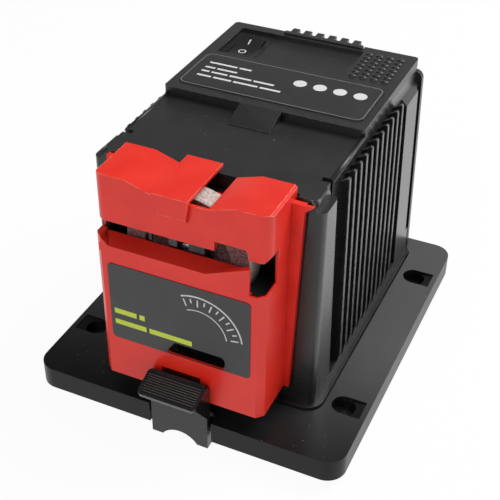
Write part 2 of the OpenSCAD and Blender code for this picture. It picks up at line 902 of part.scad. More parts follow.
// Rubber grommet: a neck through the cover between two lips, with the cord's bore
module cord_grommet() framed() color(rubber_black)
    translate([inlet_x, cover_rear, inlet_z]) rotate([90, 0, 0]) rotate_extrude()
        polygon([[inlet_r, -grommet_lip], [grommet_r + 2, -grommet_lip], [grommet_r + 3, 0],
            [grommet_r - set_fit, 0], [grommet_r - set_fit, cover_t], [grommet_r + 2, cover_t],
            [grommet_r + 1, cover_t + grommet_lip], [inlet_r, cover_t + grommet_lip]]);

// Switch

module switch_body() framed() color(black_plastic) translate([switch_x, switch_y, 0])
    difference() {
        union() {
            translate([0, 0, field_z]) linear_extrude(bezel_t)
                rounded(switch_w + 2 * bezel_lip, switch_len + 2 * bezel_lip, 1);
            translate([0, 0, field_z - switch_deep]) linear_extrude(switch_deep + bezel_t / 2)
                square([switch_w, switch_len], center = true);
        }
        translate([0, 0, field_z - well_deep]) linear_extrude(well_deep + bezel_t + eps)
            square([well_w, well_len], center = true);
        rod_x(trunnion_r + run_fit, -well_w / 2 - 1, well_w / 2 + 1, 0, rocker_z);
    }

module switch_terminals() framed() color(steel)
    translate([switch_x, switch_y, field_z - switch_deep - tab_len])
        for (x = [-1, 1], y = [-1, 1])
            translate([x * switch_w / 4 - tab_t / 2, y * switch_len / 4 - tab_w / 2, 0])
                cube([tab_t, tab_w, tab_len]);

// Rocker: a shallow V on top, with its front end pressed at rest
module switch_rocker() framed() color(black_plastic) translate([switch_x, switch_y, rocker_z])
    rotate([rocker_tip / 2, 0, 0]) {
        half = rocker_len / 2;
        along_x(-rocker_w / 2, rocker_w / 2)
            polygon(concat([[-half, rocker_rise + rocker_dip], [-half, 0]],
                arc(0, 0, rocker_drop, 200, 340),
                [[half, 0], [half, rocker_rise + rocker_dip], [0, rocker_rise]]));
        rod_x(trunnion_r, -well_w / 2 - 0.9, well_w / 2 + 0.9, 0, 0);
    }

// Motor

module shade_places() {
    for (turn = [0, 180]) translate([0, 0, axis_z]) rotate([0, turn, 0]) children();
}

module stator_core() framed() color(steel) {
    slot = window_w / 2;
    difference() {
        along_y(stack_front, stack_rear) difference() {
            translate([0, (stack_top + stack_foot) / 2]) rounded(stack_w, stack_top - stack_foot, stack_r);
            translate([0, axis_z]) circle(rotor_r + air_gap);
            translate([-slot, stack_foot + limb_h]) square([window_w, window_top - stack_foot - limb_h]);
            for (x = [-bolt_x, bolt_x], z = bolt_zs) translate([x, z]) circle(bolt_r + set_fit);
        }
        shade_places() for (a = shade_angles)
            rod_y(shade_r + set_fit, stack_front - eps, stack_rear + eps,
                shade_ring * cos(a), shade_ring * sin(a));
    }
}

// Copper loops: two bars through the stack, joined across each face
module shading_rings() framed() color(copper) {
    a0 = shade_angles[0];
    a1 = shade_angles[1];
    mid = (a0 + a1) / 2;
    span = 2 * shade_ring * sin((a1 - a0) / 2);
    strap = 2 * shade_r;
    shade_places() {
        for (a = shade_angles)
            rod_y(shade_r, stack_front - strap, stack_rear + strap,
                shade_ring * cos(a), shade_ring * sin(a));
        for (y = [stack_front - strap, stack_rear + set_fit])
            translate([0, y, 0]) rotate([0, -mid, 0])
                translate([shade_ring * cos((a1 - a0) / 2) - shade_r, 0, -span / 2])
                    cube([strap, strap - set_fit, span]);
    }
}

module coil_bobbin() framed() color(grey_plastic) {
    half = window_w / 2 - 0.4;
    tube = bobbin_t + bobbin_gap;
    z0 = stack_foot;
    z1 = stack_foot + limb_h;
    out = coil_out + 1;
    difference() {
        union() {
            block(-half, half, stack_front - tube, stack_rear + tube, z0 - tube, z1 + tube);
            both_sides()
                block(half - bobbin_t, half, stack_front - out, stack_rear + out, z0 - out, z1 + out);
        }
        block(-half - eps, half + eps, stack_front - bobbin_gap, stack_rear + bobbin_gap, z0 - bobbin_gap,
            z1 + bobbin_gap);
    }
}

module coil_winding() framed() color(copper) {
    half = window_w / 2 - 0.5 - bobbin_t;
    tube = bobbin_t + bobbin_gap + set_fit;
    mid_y = (stack_front + stack_rear) / 2;
    mid_c = stack_foot + limb_h / 2;
    along_x(-half, half) translate([mid_y, mid_c]) difference() {
        rounded(stack_len + 2 * coil_out, limb_h + 2 * coil_out, coil_out - 2);
        square([stack_len + 2 * tube, limb_h + 2 * tube], center = true);
    }
}

// Bridge that carries a bush: four posts, a plate and a hub. dir is the way it faces along Y.
module bearing_bridge(face, dir) {
    y1 = face + dir * post_len;
    y2 = y1 + dir * bridge_t;
    y3 = y2 + dir * hub_len;
    difference() {
        union() {
            for (x = [-bolt_x, bolt_x], z = bolt_zs) rod_y(post_r, min(face, y1), max(face, y1), x, z);
            along_y(min(y1, y2), max(y1, y2)) translate([0, axis_z])
                rounded(2 * bridge_half, bolt_zs[1] - bolt_zs[0] + 2 * post_r, post_r);
            rod_y(hub_r, min(y1, y3), max(y1, y3), 0, axis_z);
        }
        rod_y(bush_r + set_fit, min(y1, y3) - eps, max(y1, y3) + eps, 0, axis_z);
        for (x = [-bolt_x, bolt_x], z = bolt_zs)
            rod_y(bolt_r + set_fit, min(face, y3) - eps, max(face, y3) + eps, x, z);
    }
}

module front_bearing_bridge() framed() color(steel) bearing_bridge(stack_front, -1);
module rear_bearing_bridge() framed() color(steel) bearing_bridge(stack_rear, 1);

module bush(y0) {
    difference() {
        rod_y(bush_r, y0, y0 + bush_len, 0, axis_z);
        rod_y(shaft_r + run_fit, y0 - eps, y0 + bush_len + eps, 0, axis_z);
    }
}

module front_bush() framed() color(copper) bush(stack_front - post_len - bridge_t - hub_len + 1);
module rear_bush() framed() color(copper) bush(stack_rear + post_len + 1);

module motor_bolts() framed() color(steel) {
    front = stack_front - post_len - bridge_t;
    rear = stack_rear + post_len + bridge_t;
    for (x = [-bolt_x, bolt_x], z = bolt_zs) {
        rod_y(bolt_r, front - 1, rear + bolt_head_h + 0.6, x, z);
        rod_y(bolt_head_r, front - bolt_head_h, front, x, z);
        rod_y(bolt_head_r, rear, rear + bolt_head_h, x, z);
    }
}

// Angle brackets that stand the stack on the plate
module motor_mounts() framed() color(steel) {
    mid = stack_mid - mount_len / 2;
    both_sides() translate([stack_w / 2, mid, shell_z]) {
        cube([mount_t, mount_len, stack_foot - shell_z + mount_h]);
        cube([mount_foot, mount_len, mount_t]);
    }
}

module rotor_core() framed() color(steel) difference() {
    union() {
        rod_y(rotor_r, stack_front, stack_rear, 0, axis_z);
        rod_y(end_ring_r, stack_front - end_ring_t, stack_rear + end_ring_t, 0, axis_z);
    }
    rod_y(shaft_r + set_fit, stack_front - end_ring_t - eps, stack_rear + end_ring_t + eps, 0, axis_z);
}

module motor_shaft() framed() color(steel) {
    front = -wheel_front + wheel_dish + 0.5;
    difference() {
        rod_y(shaft_r, front, shaft_rear, 0, axis_z);
        rod_y(end_screw_r + set_fit, front - eps, front + end_screw_len, 0, axis_z);
    }
}

module cooling_fan() framed() color(grey_plastic) {
    front = shaft_rear - fan_len - 1;
    difference() {
        union() {
            rod_y(fan_hub_r, front, front + fan_len, 0, axis_z);
            for (i = [0 : fan_blades - 1])
                translate([0, front + fan_len / 2, axis_z]) rotate([0, i * 360 / fan_blades, 0])
                    translate([fan_hub_r - 1.5, 0, 0]) rotate([fan_lean, 0, 0])
                        translate([0, -fan_len / 2 + 0.4, -fan_blade_t / 2])
                            cube([fan_r - fan_hub_r + 1.5, fan_len - 0.8, fan_blade_t]);
        }
        rod_y(shaft_r + set_fit, front - 2, front + fan_len + 2, 0, axis_z);
    }
}

// Wheel on the shaft's end

module wheel_hub() framed() color(steel) difference() {
    union() {
        rod_y(hub_flange_r, -wheel_back, -wheel_back + hub_flange_t, 0, axis_z);
        rod_y(wheel_bore - set_fit, -wheel_front + wheel_dish, -wheel_back + 1, 0, axis_z);
        rod_y(hub_sleeve_r, -wheel_back, -wheel_back + hub_flange_t + hub_sleeve_len, 0, axis_z);
    }
    rod_y(shaft_r + set_fit, -wheel_front - eps, -wheel_back + hub_flange_t + hub_sleeve_len + eps,
        0, axis_z);
}

module grinding_wheel() framed() color(stone) difference() {
    translate([0, -wheel_back, axis_z]) rotate([90, 0, 0]) rotate_extrude()
        polygon([[wheel_bore, 0], [wheel_r - 0.5, 0], [wheel_r, 0.5], [wheel_r, wheel_t - 0.5],
            [wheel_r - 0.5, wheel_t], [dish_r, wheel_t], [dish_r, wheel_t - wheel_dish],
            [wheel_bore, wheel_t - wheel_dish]]);
}

module wheel_washer() framed() color(steel) difference() {
    rod_y(washer_r, -wheel_front + wheel_dish - washer_t, -wheel_front + wheel_dish, 0, axis_z);
    rod_y(end_screw_r + set_fit, -wheel_front, -wheel_back, 0, axis_z);
}

module wheel_screw() framed() color(steel) {
    seat = -wheel_front + wheel_dish - washer_t;
    difference() {
        union() {
            rod_y(end_screw_head, seat - end_screw_head_h, seat, 0, axis_z);
            rod_y(end_screw_r, seat - 1, seat + end_screw_len - 1, 0, axis_z);
        }
        block(-end_screw_head, end_screw_head, seat - end_screw_head_h - eps, seat - end_screw_head_h + 1,
            axis_z - 0.5, axis_z + 0.5);
    }
}

// Guide for knives and scissors

// Plan of the body: flat front with chamfered corners, drawn in by a wall
module guide_plan(inset) {
    half = guide_half - inset;
    front = guide_y + inset;
    cut = guide_chamfer - inset * (2 - sqrt(2));
    polygon([[-half, rail_front + 1], [-half, front + cut], [-half + cut, front], [half - cut, front],
        [half, front + cut], [half, rail_front + 1]]);
}

// Half width of the rail at a height, a set gap inside the housing's pillars
function rail_half(z) =
    bay_foot + (bay_top - bay_foot) * (z - flange_z) / (deck_z + 1 - flange_z) - rail_gap;

// Rail plate at the back: tapers with the pillars
module rail_outline() {
    difference() {
        polygon([[-rail_half(guide_z), guide_z], [rail_half(guide_z), guide_z],
            [rail_half(rail_top), rail_top], [-rail_half(rail_top), rail_top]]);
        translate([-bridge_x, rail_bridge]) square([2 * bridge_x, rail_top]);
        translate([-rail_slot, guide_z - eps]) square([2 * rail_slot, rail_arch - guide_z - rail_slot]);
        translate([0, axis_z]) circle(rail_slot);
    }
}

// Pointed ear at the rail's upper right corner, ahead of the pillar
module rail_ear() {
    inner = rail_half(rail_top) - 1;
    polygon([[inner, rail_top - ear_h], [inner + 1, rail_top - ear_h], [inner + 1 + ear_out, rail_top],
        [inner, rail_top]]);
}

// What is taken off the body above its lip, and the mouth at its right-hand corner
module lip_cut() {
    far = guide_half + 2;
    left_z = lip_z + lip_rise;
    top = body_top + 5;
    along_y(guide_y - 5, lip_back - 1)
        polygon([[-far, left_z], [lip_left - lip_rise, left_z], [lip_left, lip_z], [lip_bend, lip_z],
            [lip_right, lip_z + horn_rise], [lip_right, mouth_z], [far, mouth_z], [far, top], [-far, top]]);
    block(lip_right, far, guide_y - 5, mouth_back, mouth_z, top);
    block(-far, -guide_inner + set_fit, guide_y - 5, lip_back, left_z, top);
}

// Slanted cut that ends the knife ramp beside the mouth, and the thinned wall round the mouth
module mouth_cut() {
    front = guide_y + mouth_skin;
    back = ramp_back + 1;
    translate([0, 0, mouth_z]) linear_extrude(body_top - mouth_z + 5)
        polygon([[lip_right + eps, front], [lip_right, front], [lip_right - mouth_slant, back],
            [lip_right + eps, back]]);
    intersection() {
        translate([0, 0, guide_z]) linear_extrude(guide_h + 5) guide_plan(mouth_skin);
        block(lip_right, guide_half, guide_y, mouth_back + mouth_thin, mouth_z - mouth_thin, body_top + 5);
    }
}

// Slot low in the front: round at the right, slanted at the left
module dust_slot(grow) {
    mid = [(window_x0 + window_x1) / 2, (window_z0 + window_z1) / 2];
    difference() {
        translate(mid) rounded(window_x1 - window_x0 + 2 * grow, window_z1 - window_z0 + 2 * grow, window_r);
        polygon([[window_x0 - 1, window_z0 + 1], [window_x0 - grow, window_z0 + 1],
            [window_x0 + window_slant - grow, window_z1 + 1], [window_x0 - 1, window_z1 + 1]]);
    }
}

module guide_body() framed() color(red_plastic) {
    ramp_rise = ramp_run * tan(knife_angle);
    shut = lip_z - knife_t - 1;
    difference() {
        union() {
            difference() {
                translate([0, 0, guide_z]) linear_extrude(guide_h) guide_plan(0);
                translate([0, 0, guide_z - eps]) linear_extrude(guide_h + 2 * eps) guide_plan(guide_wall);
                block(-guide_inner, guide_inner, rail_front, rail_front + 5, guide_z - eps, body_top + eps);
                lip_cut();
            }
            along_x(-guide_inner - 0.5, lip_right)
                polygon([[guide_y, lip_z], [ramp_back, lip_z + ramp_rise],
                    [ramp_back, lip_z + ramp_rise - knife_t], [guide_y + guide_wall, shut], [guide_y, shut]]);
            along_y(rail_front, rail_back) rail_outline();
            along_y(rail_front, rail_front + ear_t) rail_ear();
        }
        mouth_cut();
        along_y(guide_y - 1, guide_y + guide_wall + 1) dust_slot(0);
        block(window_x0 - window_reach, window_x1 + window_relief, guide_y + window_skin,
            guide_y + guide_wall + 1, window_z0 - window_relief, window_z1 + window_relief);
        block(-catch_half, catch_half, guide_y - 1, guide_y + catch_deep, pad_z - catch_h, pad_z + move_gap);
        for (x = [-guide_screw_x, guide_screw_x]) {
            rod_y(guide_screw_r + 0.1, rail_front - 1, rail_back + 1, x, guide_screw_z);
            rod_y(guide_screw_head + 0.1, rail_back - guide_screw_head_h, rail_back + 1, x, guide_screw_z);
        }
    }
}

// Outline of the cap from the front: outer ridges, falling inwards to the valley for the blades
module cap_outline() {
    right = [[cap_half, body_top], [cap_half, ridge_z - cap_edge], [cap_half - cap_edge, ridge_z],
        [cap_ridge_x, ridge_z], [cap_valley_x, valley_z]];
    polygon(concat(right, [for (i = [len(right) - 1 : -1 : 0]) [-right[i][0], right[i][1]]]));
}

// Plan of the cap: round front corners, square behind
module cap_plan() {
    depth = cap_front - cap_rear;
    translate([0, -cap_front + depth / 2]) rounded(2 * cap_half, depth, cap_r);
    translate([-cap_half, -cap_front + depth / 2]) square([2 * cap_half, depth / 2]);
}

// Cut-out in the cap's front wall that shows the wheel, round at its upper right
module notch_outline() {
    top = body_top + notch_h;
    polygon(concat([[notch_x1, body_top - eps]], arc(notch_x1 - notch_r, top - notch_r, notch_r, 0, 90),
        [[notch_x0, top], [notch_x0, body_top - eps]]));
}

module guide_cap() framed() color(red_plastic) {
    behind = rail_back + move_gap;
    foot = body_top - eps;
    inside = -cap_front + cap_wall;
    difference() {
        union() {
            difference() {
                intersection() {
                    along_y(-cap_front, -cap_rear) cap_outline();
                    translate([0, 0, body_top]) linear_extrude(cap_h + 1) cap_plan();
                }
                block(-cap_inner, cap_inner, inside, rail_back + 0.1, foot, cap_inside_z);
                block(-guide_w, guide_w, behind, 0, foot, cap_step_z);
                block(-guide_w, guide_w, -cap_front - eps, inside + cap_r, foot, body_top + cap_lift);
            }
            for (x = [-guide_screw_x, guide_screw_x])
                rod_y(guide_boss_r, rail_front - guide_screw_len, rail_front - 0.1, x, guide_screw_z);
        }
        // Slots for the rail's upright ends
        both_sides() block(bridge_x - tongue_gap, guide_w, rail_front - 0.1, rail_back + 0.1, foot,
            rail_top + tongue_gap);
        rod_y(wheel_r + wheel_gap, -wheel_front - 2, -wheel_back + 2, 0, axis_z);
        // Slot over the wheel, which runs on under the scissor plate and out behind
        block(slot_left - slot_under, slot_right, -cap_front + slot_wall, -cap_rear + eps, foot, ridge_z + 1);
        along_y(-cap_front - 1, inside + 0.1) notch_outline();
        along_y(-cap_front - 1, mouth_back)
            polygon([[guide_half - corner_rise, foot], [guide_half + 1, body_top + corner_rise + 1],
                [guide_half + 1, foot]]);
        for (x = [-guide_screw_x, guide_screw_x])
            rod_y(guide_screw_r + set_fit, rail_front - guide_screw_len + 1, rail_front + 1,
                x, guide_screw_z);
    }
}

// Plate that a scissor blade is laid on, with a pointed tab down the cap's front
module scissor_plate() framed() color(red_plastic) {
    z0 = valley_z;
    z1 = valley_z + tongue_t;
    nose = z0 + 0.8;
    tab_in = 3;
    tab_back = -cap_front - 0.1;
    tab_z = z1 - tongue_tab;
    tip_z = tab_z - 2;
    intersection() {
        along_x(tongue_left, tongue_right)
            polygon([[tongue_front, nose], [tongue_front, z1], [tongue_rear, z1], [tongue_rear, nose],
                [tongue_rear - 2, z0], [tongue_front + 2, z0]]);
        along_y(tongue_front, tongue_rear)
            polygon([[tongue_left, z0], [tongue_right - tongue_edge, z0], [tongue_right, z1 - tongue_edge],
                [tongue_right, z1], [tongue_left, z1]]);
    }
    intersection() {
        along_y(tongue_front, tab_back)
            polygon([[tongue_left, z1 - 0.5], [tongue_right, z1 - 0.5], [tongue_right - tongue_edge, tip_z],
                [tongue_right - tab_in, tab_z], [tongue_left + tab_in, tab_z],
                [tongue_left + tab_in, z1 - tongue_tab / 2], [tongue_left, z1 - tongue_edge]]);
        along_x(tongue_left, tongue_right)
            polygon([[tongue_front, z1], [tab_back, z1], [tab_back, tip_z],
                [tongue_front, tip_z + tongue_ahead]]);
    }
}

// Leaf fingers inside the knife slot, on a strip behind the cap's front wall
module blade_springs() framed() color(grey_plastic) {
    back = -cap_front + cap_wall;
    low = body_top + spring_up;
    left = spring_bars[0][0] - spring_over;
    right = notch_x0 - 1;
    difference() {
        union() {
            block(left, right, back, back + spring_t, low, low + spring_h);
            for (b = spring_bars)
                block(b[0] - b[1] / 2, b[0] + b[1] / 2, back, back + spring_t, low - spring_drop, low + 1);
        }
        block(slot_left, slot_right, back - 1, back + spring_t + 1, low + 0.5, low + spring_h + 1);
    }
}

module guide_screws() framed() color(steel) for (x = [-guide_screw_x, guide_screw_x]) {
    rod_y(guide_screw_r, rail_front - guide_screw_len + 2, rail_back - 1, x, guide_screw_z);
    rod_y(guide_screw_head, rail_back - guide_screw_head_h, rail_back - 0.1, x, guide_screw_z);
}

module guide_label() framed() color(label_dark)
    along_y(guide_y - label_t, guide_y) difference() {
        translate([0, (front_label_z0 + front_label_z1) / 2])
            rounded(front_label_w, front_label_z1 - front_label_z0, front_label_r);
        dust_slot(0.1);
    }

// Latch

// Side of the lever: a foot in the plate's notch, and a wedge that leans out to carry the pad
module latch_outline() {
    rear = latch_face + latch_t;
    back = latch_face + latch_foot_t;
    polygon([[rear, pad_z - pad_shoulder], [pad_y, pad_z - pad_t / 2],
        [pad_front + pad_set, pad_z - pad_drop - pad_t / 2],
        [pad_front + 2 * pad_set, pad_z - pad_drop - pad_t], [latch_face, pad_root],
        [latch_face, latch_clear], [back, latch_clear], [back, plate_z - 1], [rear, plate_z + 2]]);
}

// Thumb pad: a rounded slab with a rim, and round ridges across its sunken top
module thumb_pad() {
    field_w = latch_w - 2 * pad_rim;
    field_len = pad_len - 2 * pad_rim;
    pitch = field_len / (pad_ridges + 1);
    floor_z = pad_t - ridge_deep;
    translate([0, pad_y, pad_z]) rotate([pad_slope, 0, 0]) translate([0, -pad_len / 2, -pad_t]) {
        difference() {
            linear_extrude(pad_t) rounded(latch_w, pad_len, pad_r);
            translate([0, 0, floor_z]) linear_extrude(ridge_deep + eps)
                rounded(field_w, field_len, pad_r - pad_rim / 2);
        }
        for (i = [1 : pad_ridges])
            rod_x(ridge_deep, -field_w / 2, field_w / 2, i * pitch - field_len / 2, floor_z);
    }
}

module latch_lever() framed() color(black_plastic) difference() {
    union() {
        along_x(-latch_w / 2, latch_w / 2) latch_outline();
        thumb_pad();
        rod_x(barrel_r, -latch_w / 2, latch_w / 2, pin_y, pin_z);
    }
    rod_x(pin_r + run_fit, -latch_w, latch_w, pin_y, pin_z);
    rod_y(arch_r, plate_front - 5, plate_front + 10, 0, latch_clear + arch_h - arch_r);
}

module latch_pin() framed() color(steel) rod_x(pin_r, -pin_half + 0.5, pin_half - 0.5, pin_y, pin_z);

// Leaf spring on the back wall of the notch, with two fingers against the latch's foot
module latch_spring() framed() color(steel) {
    wall = notch_back;
    tip = latch_face + latch_foot_t + move_gap;
    top = plate_z - 2;
    low = foot_h + 1;
    both_sides() along_x(leaf_x0, leaf_x1)
        polygon([[wall, top], [wall - leaf_t, top], [wall - leaf_t, pin_z - 1], [tip, low],
            [tip, low - leaf_t], [wall, pin_z - 1 - leaf_t]]);
    block(-leaf_x1, leaf_x1, wall - leaf_t, wall, pin_z + 1, top);
}

base_plate();
rubber_feet();
base_screws();
housing();
control_panel();
rating_label();
rear_cover();
cover_screws();
cord_grommet();
switch_body();
switch_terminals();
switch_rocker();
stator_core();
coil_bobbin();
coil_winding();
shading_rings();
front_bearing_bridge();
rear_bearing_bridge();
front_bush();
rear_bush();
motor_bolts();
motor_mounts();
rotor_core();
motor_shaft();
cooling_fan();
wheel_hub();
grinding_wheel();
wheel_washer();
wheel_screw();
guide_body();
guide_cap();
scissor_plate();
blade_springs();
guide_screws();
guide_label();
latch_lever();
latch_pin();
latch_spring();
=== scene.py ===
"""Electric tool sharpener: the finish of a bench sharpener for knives and scissors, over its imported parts.

Lengths are metres in the part's own frame: X right, Y back, Z up, with the origin at the bottom centre.
"""
import json
import math

import bmesh
import bpy
import numpy as np
from mathutils import Matrix, Vector


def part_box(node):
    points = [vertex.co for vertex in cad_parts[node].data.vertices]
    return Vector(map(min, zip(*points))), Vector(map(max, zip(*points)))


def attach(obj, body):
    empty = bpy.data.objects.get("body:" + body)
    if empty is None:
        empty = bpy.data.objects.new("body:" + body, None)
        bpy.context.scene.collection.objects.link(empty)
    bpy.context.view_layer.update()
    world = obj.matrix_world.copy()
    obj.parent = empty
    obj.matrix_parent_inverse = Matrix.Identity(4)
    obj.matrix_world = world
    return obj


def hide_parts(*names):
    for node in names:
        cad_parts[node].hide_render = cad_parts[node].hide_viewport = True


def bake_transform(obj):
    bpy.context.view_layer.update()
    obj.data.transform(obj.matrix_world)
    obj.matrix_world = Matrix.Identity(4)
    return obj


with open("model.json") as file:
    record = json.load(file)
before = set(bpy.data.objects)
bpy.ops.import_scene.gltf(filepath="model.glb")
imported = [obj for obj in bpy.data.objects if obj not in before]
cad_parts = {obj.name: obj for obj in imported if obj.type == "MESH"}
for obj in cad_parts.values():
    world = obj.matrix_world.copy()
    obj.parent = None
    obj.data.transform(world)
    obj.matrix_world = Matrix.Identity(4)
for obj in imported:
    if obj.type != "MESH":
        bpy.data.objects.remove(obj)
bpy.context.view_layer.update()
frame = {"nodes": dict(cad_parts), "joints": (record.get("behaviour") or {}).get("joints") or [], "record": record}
record = frame["record"]
MM = 0.001
BODY = {node: body for body, nodes in record["behaviour"]["bodies"].items() for node in nodes}
SLOT = {part["node"]: part["material_slot"] for part in record["subparts"]}
JOINT = {joint["name"]: joint for joint in frame["joints"]}
DECK_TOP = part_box("housing")[1].z
LEFT_RIGHT = (-1, 1)

# Pieces whose finish isn't their slot's own
OWN = {"base_plate": "plate_plastic", "housing": "shell_plastic", "rating_label": "rating_film",
       "blade_springs": "dull_steel", "latch_pin": "dull_steel"}

# Widths of rounded edges, in millimetres
ROUNDING = {"base_plate": 0.9, "control_panel": 0.35, "rear_cover": 0.5, "switch_body": 0.25,
            "switch_rocker": 0.4, "guide_body": 0.6, "guide_cap": 0.9, "scissor_plate": 0.6,
            "latch_lever": 0.4, "housing": 0.85}


# Camera and light

def aim_camera():
    """Camera at the photograph's place. back points from the object to it, and roll turns it about back."""
    azimuth, elevation, roll = (math.radians(degrees) for degrees in (24.129, 36.126, 0.729))
    place = Vector((160.0, -363.2, 342.05)) * MM
    level = math.cos(elevation)
    back = Vector((math.sin(azimuth) * level, -math.cos(azimuth) * level, math.sin(elevation)))
    right = Vector((0, 0, 1)).cross(back).normalized()
    up = back.cross(right)
    across = right * math.cos(roll) + up * math.sin(roll)
    upright = up * math.cos(roll) - right * math.sin(roll)
    data = bpy.data.cameras.new("camera")
    data.lens = 74.6
    data.sensor_width = 36
    data.clip_start = 0.01
    camera = bpy.data.objects.new("camera", data)
    turn = Matrix((across, upright, back)).transposed()
    camera.matrix_world = Matrix.Translation(place) @ turn.to_4x4()
    bpy.context.scene.collection.objects.link(camera)
    bpy.context.scene.camera = camera


def area_light(name, place, target, size, power):
    """Square soft box that faces its target."""
    data = bpy.data.lights.new(name, "AREA")
    data.size = size
    data.energy = power
    lamp = bpy.data.objects.new(name, data)
    lamp.location = place
    lamp.rotation_euler = (Vector(target) - Vector(place)).to_track_quat("-Z", "Y").to_euler()
    bpy.context.scene.collection.objects.link(lamp)


# Shader arithmetic

def plug(tree, socket, value):
    """Links a wrapped socket to an input, or sets the input to a plain value."""
    if isinstance(value, Socket):
        tree.links.new(value.socket, socket)
    else:
        socket.default_value = value


def add_node(tree, kind, settings=None, sockets=None, output=0):
    """Makes any node: its settings first, then its sockets by name or number. Gives back one output."""
    node = tree.nodes.new(kind)
    for key, value in (settings or {}).items():
        setattr(node, key, value)
    for key, value in (sockets or {}).items():
        plug(tree, node.inputs[key], value)
    return Socket(tree, node.outputs[output])


class Socket:
    """A shader value: each operator adds the Math node that it stands for."""

    def __init__(self, tree, socket):
        self.tree = tree
        self.socket = socket

    def math(self, operation, *values):
        return add_node(self.tree, "ShaderNodeMath", {"operation": operation}, dict(enumerate(values)))

    def __add__(self, other):
        return self.math("ADD", self, other)

    def __sub__(self, other):
        return self.math("SUBTRACT", self, other)

    def __rsub__(self, other):
        return self.math("SUBTRACT", other, self)

    def __mul__(self, other):
        return self.math("MULTIPLY", self, other)

    def __pow__(self, other):
        return self.math("POWER", self, other)

    __radd__ = __add__
    __rmul__ = __mul__

    def size(self):
        return self.math("ABSOLUTE", self)

    def most(self, other):
        return self.math("MAXIMUM", self, other)

    def step(self, low, high):
        """Smooth rise from 0 at low to 1 at high."""
        sockets = {"Value": self, "From Min": low, "From Max": high}
        return add_node(self.tree, "ShaderNodeMapRange", {"interpolation_type": "SMOOTHSTEP"}, sockets)

    def past(self, place, fade):
        """Smooth rise from 0 to 1 over a fade that has the place at its middle."""
        return self.step(place - fade / 2, place + fade / 2)


class Finish:
    """A material in the making, with constants set on the shader's own sockets."""

    def __init__(self, name, constants=None):
        self.material = bpy.data.materials.new(name)
        self.material.use_nodes = True
        self.tree = self.material.node_tree
        self.shader = self.tree.nodes["Principled BSDF"]
        for key, value in (constants or {}).items():
            self.shader.inputs[key].default_value = value

    def add(self, kind, settings=None, sockets=None, output=0):
        return add_node(self.tree, kind, settings, sockets, output)

    def place(self):
        """Object coordinates."""
        return self.add("ShaderNodeTexCoord", output="Object")

    def axis(self, letter):
        """One of the object coordinates."""
        return self.add("ShaderNodeSeparateXYZ", {}, {"Vector": self.place()}, letter)

    def noise(self, grain, detail):
        """Cloudy noise whose blobs are about one grain across, from 0 to 1."""
        sockets = {"Vector": self.place(), "Scale": 1 / grain, "Detail": detail}
        return self.add("ShaderNodeTexNoise", {}, sockets, "Fac")

    def cells(self, grain):
        """Distance to the nearest of a scatter of points about one grain apart, in grains."""
        return self.add("ShaderNodeTexVoronoi", {}, {"Vector": self.place(), "Scale": 1 / grain}, "Distance")

    def facing(self, letter):
        """How far the surface looks along one axis, from -1 to 1."""
        normal = self.add("ShaderNodeNewGeometry", output="Normal")
        return self.add("ShaderNodeSeparateXYZ", {}, {"Vector": normal}, letter)

    def wear_and_glint(self):
        """How sharply the surface turns outwards, kept on the mesh by shape_edges(); it places the edge colour of
        wear and painted highlight.
        """
        return self.add("ShaderNodeAttribute", {"attribute_name": "edge"}, output="Fac")

    def mix(self, share, first, second):
        """Colour that goes from first to second as share goes from 0 to 1."""
        return self.add("ShaderNodeMix", {"data_type": "RGBA"}, {0: share, 6: first, 7: second}, 2)

    def bump(self, height, depth):
        """Relief whose height runs from 0 to 1 over depth metres."""
        sockets = {"Height": height, "Distance": depth}
        self.set("Normal", self.add("ShaderNodeBump", {}, sockets, "Normal"))

    def set(self, name, value):
        plug(self.tree, self.shader.inputs[name], value)


def tone(red, green, blue):
    """Linear colour of an everyday 0 to 255 one."""
    share = np.array((red, green, blue)) / 255
    linear = np.where(share > 0.04045, ((share + 0.055) / 1.055) ** 2.4, share / 12.92)
    return (*linear.tolist(), 1.0)


def grey(level):
    return tone(level, level, level)


# Materials

def painted_guide_shade(finish):
    """Share of painted shade: 1 in the guide's hollow, where shade falls, a lighter painted shade on the lip over
    its label, 0 on its outside.

    Planes bound the hollow, each one a wall's thickness inside the guide. The front one lies further forward
    where the wall is thin, which is below the lip and in the scissor slot's mouth at the right.
    """
    front, back = (corner.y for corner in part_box("guide_body"))
    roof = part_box("guide_cap")[1].z - 5.75 * MM
    thick_wall, thin_wall, back_wall = 6.8 * MM, 1.0 * MM, 1.2 * MM
    side_wall, chamfer = 37.15 * MM, 33.75 * MM
    lip_foot, lip_top, lip_shade = 90 * MM, 98.5 * MM, 0.25
    mouth_left, mouth_top = 31.65 * MM, 102.8 * MM
    across, depth, height = (finish.axis(letter) for letter in "XYZ")
    aside = across.size()
    below = 1 - height.past(lip_foot, MM)
    mouth = across.past(mouth_left, 0.5 * MM) * (1 - height.past(mouth_top, 0.4 * MM))
    thin = below.most(mouth) * (thick_wall - thin_wall)
    inside = (depth + thin).past(front + thick_wall, 0.6 * MM)
    inside = inside * (1 - depth.past(back - back_wall, 0.4 * MM))
    inside = inside * (1 - aside.past(side_wall, 0.3 * MM))
    inside = inside * (1 - (aside - depth).past(chamfer - front, 0.3 * MM))
    inside = inside * (1 - height.past(roof, 0.5 * MM))
    # Painted shade on the lip's top, where the cap above would shade it.
    lip = height.past(lip_foot + MM, MM) * (1 - height.past(lip_top, MM))
    lip = lip * finish.facing("Z").step(0.2, 0.5)
    return inside.most(lip * lip_shade)


